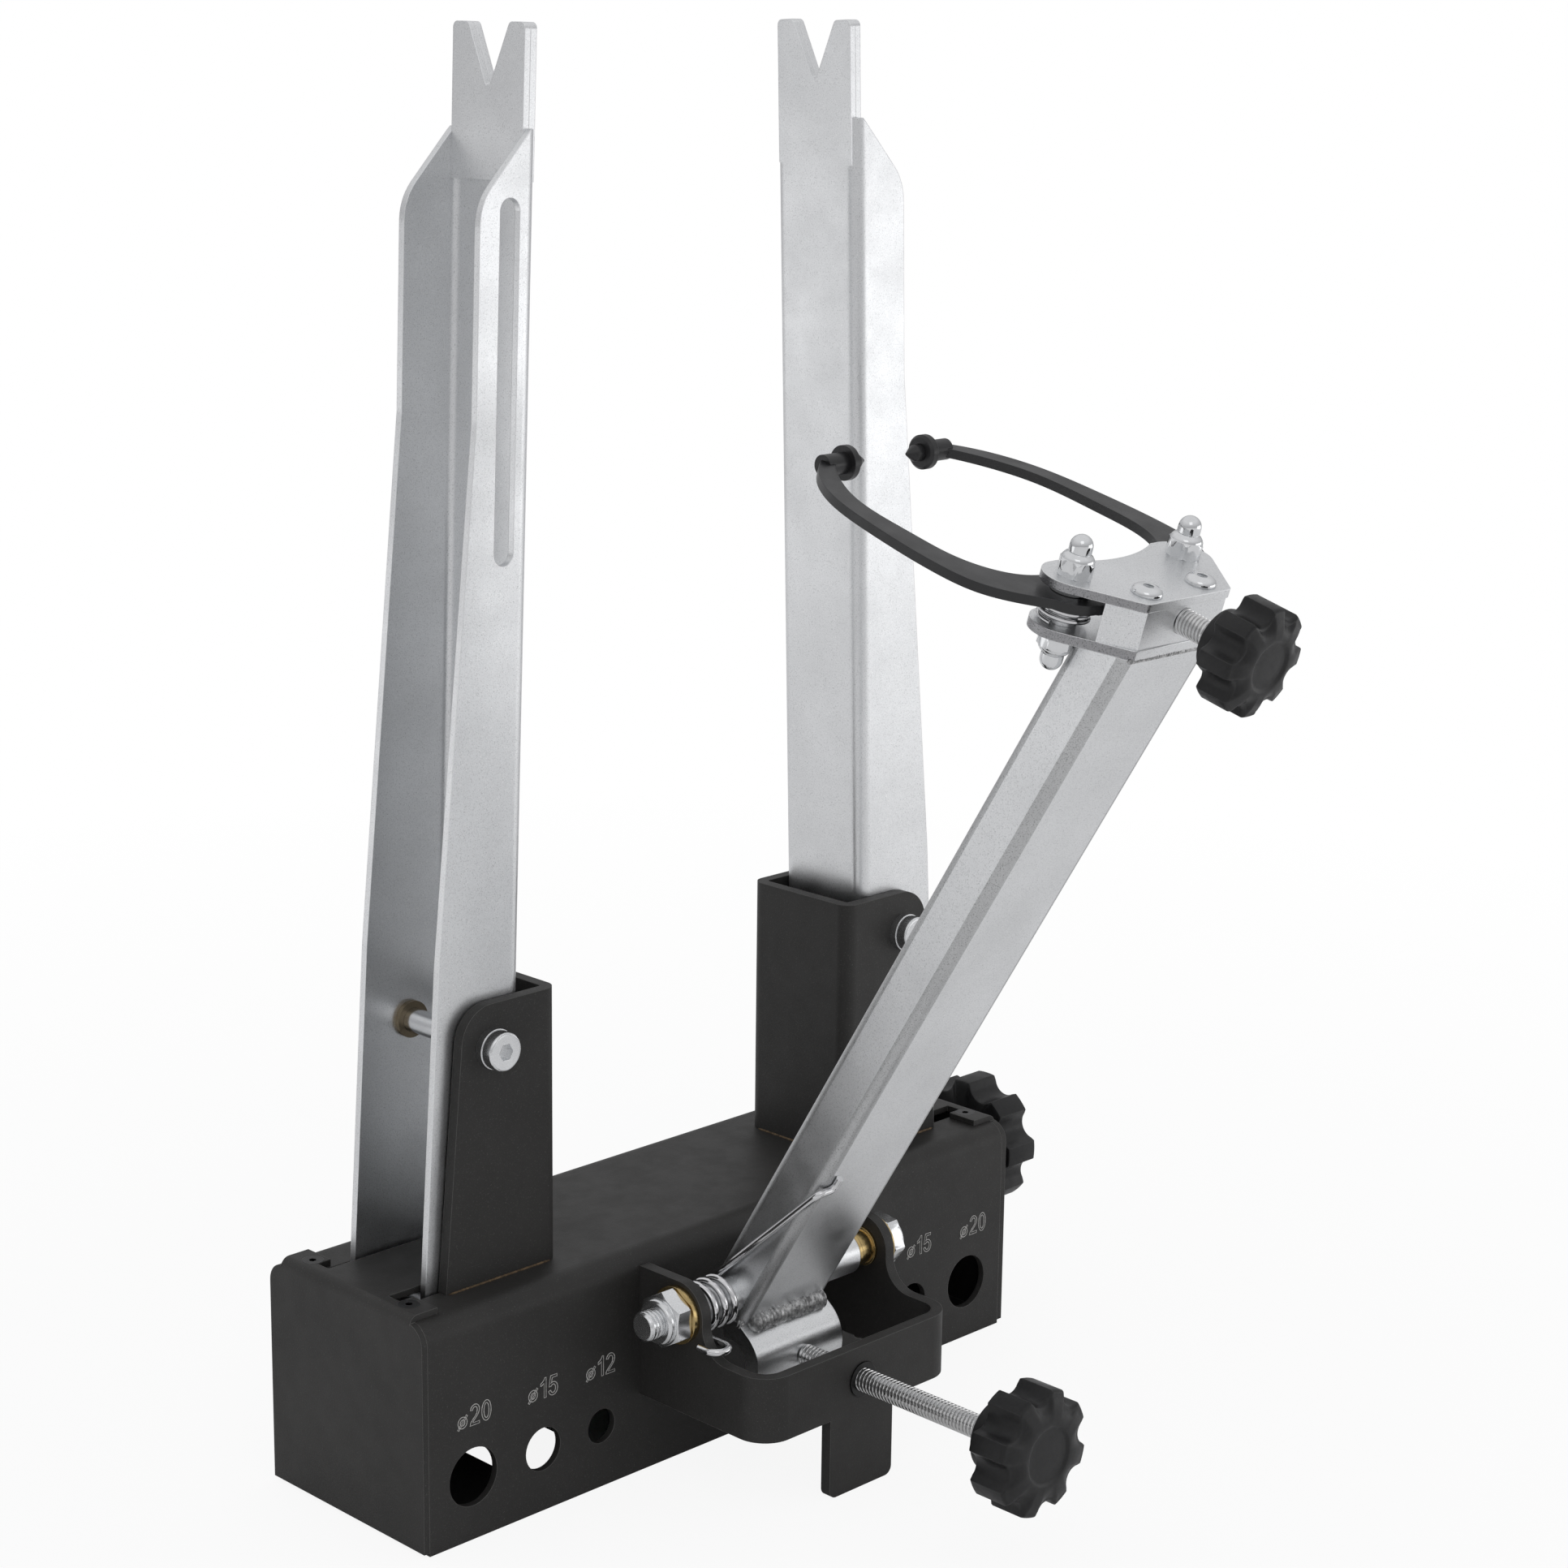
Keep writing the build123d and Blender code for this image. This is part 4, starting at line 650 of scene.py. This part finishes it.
# ---------------------------------------------------------------- gauge arm
def arm_section(inset=0.0):
    """Tube's outline seen along the arm, a rounded rectangle."""
    half_x, half_y = ARM_WIDTH / 2 - inset, ARM_DEPTH / 2 - inset
    radius = max(ARM_CORNER_RADIUS - inset, 0.5)
    steps, margin = 7, 0.5
    points = []
    for turn, (x_sign, y_sign) in enumerate(((1, 1), (-1, 1), (-1, -1), (1, -1))):
        corner = Vector((x_sign * (half_x - radius), y_sign * (half_y - radius)))
        arc = []
        for step in range(steps + 1):
            angle = math.radians(90 * (turn + step / steps))
            arc.append(corner + Vector((math.cos(angle), math.sin(angle))) * radius)
        lead = Vector((math.sin(math.radians(90 * turn)), -math.cos(math.radians(90 * turn))))
        leave = Vector((-math.sin(math.radians(90 * (turn + 1))),
                        math.cos(math.radians(90 * (turn + 1)))))
        points += [arc[0] + lead * margin, *arc, arc[-1] + leave * margin]
    return [Vector((point.x + ARM_ASIDE, point.y + ARM_BEHIND)) for point in points]


def arm_top(x, y):
    """How far along the arm its tube meets the underside of the calliper head."""
    origin = Vector(PIVOT) + Vector((x, 0, 0)) + ARM_INWARD * y
    head = Vector(HEAD_PLACE) + HEAD_NORMAL * HEAD_BOTTOM
    return (head - origin).dot(HEAD_NORMAL) / ARM_ALONG.dot(HEAD_NORMAL)


def arm_tube():
    outer, inner = arm_section(), arm_section(ARM_WALL)
    loops = [[(p.x, p.y, -ARM_TAIL) for p in outer], [(p.x, p.y, arm_top(*p)) for p in outer],
             [(p.x, p.y, arm_top(*p)) for p in inner], [(p.x, p.y, -ARM_TAIL) for p in inner]]
    verts, faces = rings(loops, caps=False)
    around = len(outer)
    last = 3 * around
    faces += [(last + step, last + (step + 1) % around, (step + 1) % around, step)
              for step in range(around)]
    tube = mesh_piece("arm_tube", verts, faces, "gauge_arm", MATERIALS["zinc_steel"],
                      "zinc_steel", ARM_FRAME)
    tube.data.materials.append(ROLLED)
    for polygon in tube.data.polygons:
        normal = polygon.normal
        if min(abs(normal.x), abs(normal.dot(ARM_INWARD))) > 0.05 \
                and abs(normal.dot(ARM_ALONG)) < 0.2:
            polygon.material_index = 1
    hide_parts("gauge_arm_tube", "gauge_arm_gusset")


def arm_barrel():
    """Pivot barrel through the tube, with its thinner end inside the spring, and its bush."""
    axis = axes_at(PIVOT, (1, 0, 0), (0, 1, 0))
    side = ARM_ASIDE - ARM_WIDTH / 2
    wide, thin, bevel = BARREL_DIAMETER / 2, SLEEVE_DIAMETER / 2, 0.5
    profile = ((SLEEVE_LEFT, thin - bevel), (SLEEVE_LEFT + bevel, thin), (side + 1, thin),
               (side + 1, wide), (BARREL_RIGHT - bevel, wide), (BARREL_RIGHT, wide - bevel))
    barrel = mesh_piece("arm_barrel", *lathe(profile), "gauge_arm", MATERIALS["zinc_steel"],
                        "zinc_steel", axis)
    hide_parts("gauge_arm_barrel")
    radius = BUSH_DIAMETER / 2
    start, end = BARREL_RIGHT + 0.15, EAR_INNER - 0.05
    flange = start + 2.2
    profile = ((start, radius + 0.6 - bevel), (start + bevel, radius + 0.6),
               (flange - bevel, radius + 0.6), (flange, radius + 0.1), (end - 1.2, radius + 0.1),
               (end - 1.0, radius + 0.9), (end, radius + 0.9))
    bush = mesh_piece("pivot_bush", *lathe(profile), "base", MATERIALS["yellow_zinc"],
                      "yellow_zinc", axis)
    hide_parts("gauge_pivot_bush")


def cam_plate():
    """Thick plate rolled round the cam radius, with a neck up to the tube's lower end."""
    y, z = CAM_CENTRE
    inner = CAM_RADIUS - CAM_THICKNESS

    def on_circle(radius, angle):
        return Vector((y + radius * math.cos(math.radians(angle)),
                       z + radius * math.sin(math.radians(angle))))

    front = Vector((PIVOT[1], PIVOT[2])) + Vector((ARM_ALONG.y, ARM_ALONG.z)) * -ARM_TAIL \
        + Vector((ARM_INWARD.y, ARM_INWARD.z)) * (ARM_BEHIND - ARM_DEPTH / 2)
    back = front + Vector((ARM_INWARD.y, ARM_INWARD.z)) * CAM_NECK_DEPTH
    steps = 26
    outline = [front]
    outline += [on_circle(CAM_RADIUS, CAM_SHOULDER + (CAM_END - CAM_SHOULDER) * step / steps)
                for step in range(steps + 1)]
    outline += [on_circle(inner, CAM_END + (98.0 - CAM_END) * step / steps)
                for step in range(steps + 1)]
    outline += [Vector((y + 3, z + inner)), back]
    low, high = ARM_ASIDE - ARM_WIDTH / 2, ARM_ASIDE + ARM_WIDTH / 2
    loops = [[(x, point.x, point.y) for point in outline] for x in (high, low)]
    verts, faces = rings(loops)
    cam = mesh_piece("cam_plate", verts, faces, "gauge_arm", MATERIALS["zinc_steel"],
                     "zinc_steel")
    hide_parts("gauge_cam_plate")


def rounded_path(corners, radius, steps=6):
    """Run of points through corners, each turned on a curve that starts radius before it."""
    run = [Vector(corners[0])]
    for before, corner, after in zip(corners, corners[1:], corners[2:]):
        corner = Vector(corner)
        enter = corner + (Vector(before) - corner).normalized() * radius
        leave = corner + (Vector(after) - corner).normalized() * radius
        for step in range(steps + 1):
            part = step / steps
            run.append(enter.lerp(corner, part).lerp(corner.lerp(leave, part), part))
    run.append(Vector(corners[-1]))
    return run


def torsion_spring():
    """Coil hooked on the bracket's left ear, its leg caught across the arm's front face."""
    pivot = Vector(PIVOT)
    aside = Vector((1, 0, 0))
    clear = SPRING_WIRE / 2
    corner = pivot + ARM_ALONG * SPRING_CATCH_HEIGHT \
        + ARM_INWARD * (ARM_BEHIND - ARM_DEPTH / 2 - clear) \
        + aside * (ARM_ASIDE - ARM_WIDTH / 2 - clear)
    forward, up = pivot.y - corner.y, corner.z - pivot.z
    rise_angle = math.degrees(math.atan2(up, forward)
                              - math.asin(SPRING_RADIUS / math.hypot(up, forward)))
    sweep_angle = 360 * SPRING_TURNS + 180 - rise_angle
    low = pivot.z - SPRING_RADIUS
    middle = (SPRING_HOOK_OUTER + SPRING_FIRST) / 2
    bend = (SPRING_FIRST - SPRING_HOOK_OUTER) / 2
    points = [Vector((SPRING_HOOK_OUTER, SPRING_HOOK_Y + SPRING_END, low))]
    for step in range(17):
        angle = math.pi * step / 16
        points.append(Vector((middle - bend * math.cos(angle),
                              SPRING_HOOK_Y - bend * math.sin(angle), low)))
    count = int(sweep_angle / 10)
    for step in range(count + 1):
        angle = math.radians(sweep_angle * step / count)
        points.append(Vector((SPRING_FIRST + (SPRING_LAST - SPRING_FIRST) * step / count,
                              pivot.y + SPRING_RADIUS * math.sin(angle),
                              pivot.z - SPRING_RADIUS * math.cos(angle))))
    catch = corner + aside * SPRING_CATCH_WIDTH
    points += rounded_path([points[-1], corner, catch,
                            catch + ARM_ALONG * (SPRING_BEND + SPRING_WIRE)], SPRING_BEND)[1:]
    spring = wire_mesh("spring_wire", points, SPRING_WIRE, "spring_steel")
    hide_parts("torsion_spring")
    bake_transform(spring)


# ---------------------------------------------------------------- knobs
def star_knob(name, sizes, matrix, body, node, turn=0.0):
    """Fluted knob standing on its hub at the frame's origin, its crowned face along +Z."""
    diameter, rim, crown, hub, hub_length, flute, flute_depth, recess = sizes
    radius, sectors = diameter / 2, 22
    centre = radius - flute_depth + flute
    soften = 1.6

    def star(angle):
        """Outline's radius: the rim, cut by a round flute in each sector, edges eased."""
        sector = 2 * math.pi / KNOB_FLUTES
        off = (angle / sector) % 1.0 - 0.5
        off *= sector
        inside = flute ** 2 - (centre * math.sin(off)) ** 2
        cut = centre * math.cos(off) - math.sqrt(inside) if inside > 0 \
            else centre * math.cos(off) + (centre * abs(math.sin(off)) - flute) * 6
        ease = max(soften - abs(radius - cut), 0.0) / soften
        return min(radius, cut) - ease * ease * soften / 4

    around = KNOB_FLUTES * sectors
    angles = [2 * math.pi * step / around for step in range(around)]
    bottom, top = hub_length, hub_length + rim

    def outline(height, distance_at):
        return [(distance_at(angle) * math.cos(angle + math.radians(turn)),
                 distance_at(angle) * math.sin(angle + math.radians(turn)), height)
                for angle in angles]

    def loop(height, reach):
        """Star's outline at a height, drawn in by reach."""
        return outline(height, lambda angle: star(angle) - reach)

    def ring(height, distance):
        return outline(height, lambda angle: distance)

    loops = [ring(0.0, 4.2), ring(0.0, hub / 2 - 0.8), ring(0.25, hub / 2 - 0.2),
             ring(0.8, hub / 2), ring(bottom - 0.8, hub / 2), ring(bottom - 0.1, hub / 2 + 0.7)]
    loops += [loop(bottom, 1.0), loop(bottom + 0.3, 0.3), loop(bottom + 1.0, 0.0)]
    edge = 1.5
    loops += [loop(top - edge, 0.0)]
    for step in range(1, 7):
        angle = math.pi / 2 * step / 6
        loops.append(loop(top - edge + edge * math.sin(angle), edge * (1 - math.cos(angle))))
    flat = recess / 2
    for step in range(1, 6):
        share = step / 6
        height = top + crown * (1 - (1 - share) ** 2) * 0.62
        loops.append([(vert[0] * (1 - share) + flat_vert[0] * share,
                       vert[1] * (1 - share) + flat_vert[1] * share, height)
                      for vert, flat_vert in zip(loop(top, edge), ring(top, flat + 0.6))])
    face = top + crown * 0.62
    loops += [ring(face + 0.02, flat + 0.6), ring(face - 0.10, flat + 0.1),
              ring(face - 0.55, flat - 0.5), ring(face - 0.62, flat - 1.1),
              ring(face - 0.50, flat * 0.6), ring(face - 0.42, flat * 0.25),
              ring(face - 0.40, 0.3)]
    verts, faces = rings(loops)
    knob = mesh_piece(name, verts, faces, body, MATERIALS["knob_plastic"], "knob_plastic", matrix)
    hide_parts(node)


def knobs():
    star_knob("reach_star_knob", REACH_KNOB,
              axes_at((0, -REACH_KNOB_BACK, REACH_HEIGHT), (1, 0, 0), (0, 0, 1)),
              "reach_screw", "reach_knob", REACH_KNOB_TURN)
    low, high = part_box("spindle_knob")
    middle = (low + high) / 2 / MM
    star_knob("spindle_star_knob", SPINDLE_KNOB,
              axes_at((low.x / MM, middle.y, middle.z), (0, 0, -1), (0, 1, 0)),
              "spindle", "spindle_knob")
    place = Vector(HEAD_PLACE) - HEAD_BACK * CALLIPER_KNOB_BACK \
        - HEAD_NORMAL * CALLIPER_SCREW_DROP
    star_knob("calliper_star_knob", CALLIPER_KNOB, axes_at(place, (1, 0, 0), HEAD_NORMAL),
              "calliper_screw", "calliper_knob")


# ---------------------------------------------------------------- screws
def screws():
    """Threaded rods in place of the plain ones."""
    low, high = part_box("reach_screw")
    length = (high.y - low.y) / MM
    rod = threaded_rod("reach_screw_threaded", REACH_THREAD, 0.0, length,
                       axes_at((0, high.y / MM, REACH_HEIGHT), (0, -1, 0), (1, 0, 0)),
                       "reach_screw", "screw_steel", [(0.4, length - 11)])
    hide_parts("reach_screw")
    low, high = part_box("spindle_screw")
    middle = (low + high) / 2 / MM
    near, far = SPINDLE_THREADED
    rod = threaded_rod("spindle_threaded", SPINDLE_THREAD, low.x / MM, high.x / MM,
                       axes_at((0, middle.y, middle.z), (1, 0, 0), (0, 1, 0)),
                       "spindle", "screw_steel", [(-far, -near), (near, far)])
    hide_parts("spindle_screw")
    tip = Vector(HEAD_PLACE) + HEAD_BACK * 5.7 - HEAD_NORMAL * CALLIPER_SCREW_DROP
    rod = threaded_rod("calliper_screw_threaded", CALLIPER_THREAD, 0.0, CALLIPER_SCREW_LENGTH,
                       axes_at(tip, -HEAD_BACK, (1, 0, 0)),
                       "calliper_screw", "screw_steel", [(0.3, 36.5)])
    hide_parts("calliper_screw")


def hexagon(across_flats, angle):
    """Hexagon's radius at an angle, with a corner at angle 0."""
    return across_flats / 2 / math.cos((angle + math.pi / 6) % (math.pi / 3) - math.pi / 6)


def hex_lathe(profile, across_flats, turn=0.0, around=72):
    """Turned form along local X: (along, radius, is_hexagon); radius cuts a hexagon's corners."""
    loops = []
    for along, radius, is_hexagon in profile:
        loop = []
        for step in range(around):
            angle = 2 * math.pi * step / around
            reach = min(radius, hexagon(across_flats, angle - turn)) if is_hexagon else radius
            loop.append((along, reach * math.cos(angle), reach * math.sin(angle)))
        loops.append(loop)
    return rings(loops)


def gauge_bolt():
    """Hexagon-headed pivot bolt with its washer and a threaded, chamfered tail."""
    low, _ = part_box("gauge_pivot_bolt")
    axis = axes_at(PIVOT, (1, 0, 0), (0, 1, 0))
    seat, across, end = BOLT_SEAT, BOLT_ACROSS, BOLT_END
    rod = threaded_rod("gauge_bolt_threaded", BOLT_THREAD, low.x / MM, seat,
                       axis, "base", "bright_fastener", [(low.x / MM + 0.4, -47.0)])
    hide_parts("gauge_pivot_bolt")
    corner = across / math.sqrt(3)
    head = seat + BOLT_WASHER
    profile = ((head, corner - 0.9, True), (head + 0.5, corner, True), (end - 0.9, corner, True),
               (end, corner - 1.6, True), (end - 0.1, 6.0, False), (end - 0.4, 5.6, False),
               (end - 0.4, 0.4, False))
    mesh_piece("gauge_bolt_head", *hex_lathe(profile, across, math.radians(156)), "base",
               MATERIALS["bright_fastener"], "bright_fastener", axis)
    ring = ((seat, 9.4), (seat + 0.3, 9.8), (head - 0.3, 9.8), (head, 9.4))
    mesh_piece("gauge_bolt_washer", *lathe(ring), "base", MATERIALS["yellow_zinc"],
               "yellow_zinc", axis)


def joined(parts):
    """Several (verts, faces) as one."""
    verts, faces = [], []
    for part_verts, part_faces in parts:
        faces += [tuple(index + len(verts) for index in face) for face in part_faces]
        verts += part_verts
    return verts, faces


def standing(form, x, y, z, up=1):
    """A form turned about local X, stood at a place along the head's normal."""
    verts, faces = form
    return [(x + up * vert[1], y + vert[2], z + up * vert[0]) for vert in verts], faces


def cap_nuts():
    """Domed cap nuts over and under the calliper head."""
    across = DOME_NUT_ACROSS
    corner = across / math.sqrt(3)
    dome, start = 3.45, 8.9
    profile = [(0.0, corner - 0.5, True), (0.4, corner, True), (4.4, corner, True),
               (5.0, corner - 0.75, True), (5.05, 4.9, False), (5.6, 4.75, False),
               (6.3, 4.2, False), (6.7, 3.4, False), (6.9, 3.25, False), (7.2, dome, False)]
    profile += [(start + dome * math.sin(math.pi / 2 * step / 9),
                 max(dome * math.cos(math.pi / 2 * step / 9), 0.05), False)
                for step in range(10)]
    nut = hex_lathe(profile, across, math.radians(12))
    half = STUD_SPACING / 2
    nuts = [standing(nut, sign * half, STUD_SETBACK, z, up)
            for sign in (-1, 1) for z, up in ((0.0, 1), (HEAD_BOTTOM, -1))]
    piece = mesh_piece("calliper_cap_nuts", *joined(nuts), "gauge_arm", CHROME,
                       "bright_fastener", HEAD_FRAME)
    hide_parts("calliper_dome_nuts")


def button_screws():
    """Two low button-head screws with hexagon sockets, through the whole head."""
    radius, rim, crown, socket, deep = 4.75, 0.35, 2.1, 3.0, 1.5
    lip = socket / math.sqrt(3) + 0.15
    profile = [(HEAD_BOTTOM, 2.1, False), (HEAD_BOTTOM + 0.3, 2.45, False), (0.0, 2.45, False),
               (0.0, radius - 0.15, False), (0.15, radius, False)]
    profile += [(rim + crown * math.sin(math.pi / 2 * step / 8),
                 lip + (radius - lip) * math.cos(math.pi / 2 * step / 8), False)
                for step in range(9)]
    top = rim + crown
    profile += [(top - 0.1, lip - 0.1, True), (top - deep, lip - 0.15, True),
                (top - deep - 0.3, 0.1, False)]
    screw = hex_lathe(profile, socket)
    screws_at = [standing(screw, sign * HEAD_SCREW_SPACING / 2, 0.0, 0.0) for sign in (-1, 1)]
    piece = mesh_piece("head_button_screws", *joined(screws_at), "gauge_arm", CHROME,
                       "bright_fastener", HEAD_FRAME)
    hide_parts("head_screws")


# ---------------------------------------------------------------- figures on the base
def arc_points(centre, radii, start, end, steps):
    return [(centre[0] + radii[0] * math.cos(math.radians(start + (end - start) * step / steps)),
             centre[1] + radii[1] * math.sin(math.radians(start + (end - start) * step / steps)))
            for step in range(steps + 1)]


def glyph(sign):
    """Closed outlines of a figure in units of its height, and its width."""
    if sign == "0":
        return [arc_points((0.29, 0.5), (0.28, 0.5), 0, 360, 36),
                arc_points((0.29, 0.5), (0.15, 0.37), 0, 360, 32)], 0.58
    if sign == "1":
        return [[(0.24, 0.0), (0.37, 0.0), (0.37, 1.0), (0.28, 1.0), (0.25, 0.92), (0.15, 0.82),
                 (0.03, 0.75), (0.03, 0.63), (0.14, 0.67), (0.24, 0.74)]], 0.40
    if sign == "2":
        top = arc_points((0.30, 0.71), (0.27, 0.29), 172, -28, 16)
        hollow = arc_points((0.30, 0.71), (0.14, 0.17), -32, 172, 12)
        return [[(0.0, 0.0), (0.02, 0.09), (0.08, 0.19), (0.20, 0.31), (0.35, 0.45),
                 (0.42, 0.55)] + hollow + top
                + [(0.47, 0.45), (0.32, 0.30), (0.19, 0.18), (0.16, 0.12), (0.57, 0.12),
                   (0.57, 0.0)]], 0.58
    if sign == "5":
        bowl = arc_points((0.28, 0.32), (0.29, 0.33), 195, 480, 20)
        hollow = arc_points((0.28, 0.32), (0.155, 0.21), 140, -165, 16)
        return [[*bowl, (0.19, 0.62), (0.23, 0.87), (0.53, 0.87), (0.53, 0.99), (0.13, 0.99),
                 (0.03, 0.45), *hollow]], 0.58
    ring = (arc_points((0.30, 0.30), (0.27, 0.28), 0, 360, 30),
            arc_points((0.30, 0.30), (0.14, 0.15), 0, 360, 24))
    slash = [(0.0, 0.02), (0.07, -0.04), (0.60, 0.58), (0.53, 0.64)]
    return [*ring, slash], 0.62


def marking(name, words, x):
    """Thin raised outlines of a bore's size on the base's front face."""
    data = bpy.data.curves.new(name, "CURVE")
    data.dimensions = "3D"
    data.bevel_depth = FIGURE_LINE * MM
    data.bevel_resolution = 1
    shapes = [glyph(sign) for sign in words]
    width = sum(wide for _, wide in shapes) + FIGURE_GAP * (len(words) - 1)
    pen = -width / 2
    for outlines, wide in shapes:
        for outline in outlines:
            spline = data.splines.new("POLY")
            spline.points.add(len(outline) - 1)
            for target, (across, up) in zip(spline.points, outline):
                target.co = ((pen + across) * FIGURE_HEIGHT * MM, 0,
                             (up - 0.5) * FIGURE_HEIGHT * MM, 1)
            spline.use_cyclic_u = True
        pen += wide + FIGURE_GAP
    piece = bpy.data.objects.new(name, data)
    bpy.context.scene.collection.objects.link(piece)
    low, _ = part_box("base_channel")
    piece.location = (x * MM, low.y, LABEL_HEIGHT * MM)
    data.materials.append(MARKING)
    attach(piece, "base")


def markings():
    for x, size in LABELS:
        side = "left" if x < 0 else "right"
        marking(f"marking_{size}_{side}", "o" + size, x)


# ---------------------------------------------------------------- welds
def welds():
    """Beads at the cam, the barrel, the arm's upper end and the brackets' feet."""
    low, high = ARM_ASIDE - ARM_WIDTH / 2, ARM_ASIDE + ARM_WIDTH / 2
    front = ARM_BEHIND - ARM_DEPTH / 2
    weld_bead("weld_cam_front", [(low + 3.0, front - 0.9, -5.6), (high - 2.5, front - 0.9, -5.6)],
              7.0, "gauge_arm", WELD, "zinc_steel", 1.7, 5, ARM_FRAME)
    weld_bead("weld_cam_side", [(low + 0.2, front + 2.6, -7.0), (low + 1.6, front - 0.2, -6.6)],
              3.6, "gauge_arm", WELD, "zinc_steel", 1.2, 7, ARM_FRAME)
    weld_bead("weld_barrel_right", [(high, -6.2, 6.2), (high, 6.2, 6.2)],
              2.4, "gauge_arm", WELD, "zinc_steel", 1.1, 6, ARM_FRAME)
    for name, y in (("front", front), ("rear", front + ARM_DEPTH)):
        top = arm_top(0, y)
        weld_bead(f"weld_head_{name}", [(low + 1, y, top - 0.3), (high - 1, y, top - 0.3)],
                  1.6, "gauge_arm", WELD, "zinc_steel", 1.1, 8, ARM_FRAME)
    for side, sign in (("left", -1), ("right", 1)):
        low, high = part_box(f"upright_bracket_{side}")
        inner, outer = sorted((abs(low.x) / MM, abs(high.x) / MM))
        for name, y in (("front", -24.1), ("rear", 24.1)):
            weld_bead(f"weld_bracket_{side}_{name}",
                      [(sign * (inner + 4), y, BASE_TOP), (sign * (outer - 1), y, BASE_TOP)],
                      0.9, "base", WELD_BROWN, "base_coat", 1.6, 11)
        weld_bead(f"weld_bracket_{side}_inner",
                  [(sign * (inner - 0.1), -19, BASE_TOP), (sign * (inner - 0.1), 19, BASE_TOP)],
                  0.9, "base", WELD_BROWN, "base_coat", 1.6, 12)


place_camera()
studio()
dress_nodes()
arm_tube()
arm_barrel()
cam_plate()
torsion_spring()
knobs()
screws()
gauge_bolt()
cap_nuts()
button_screws()
markings()
welds()
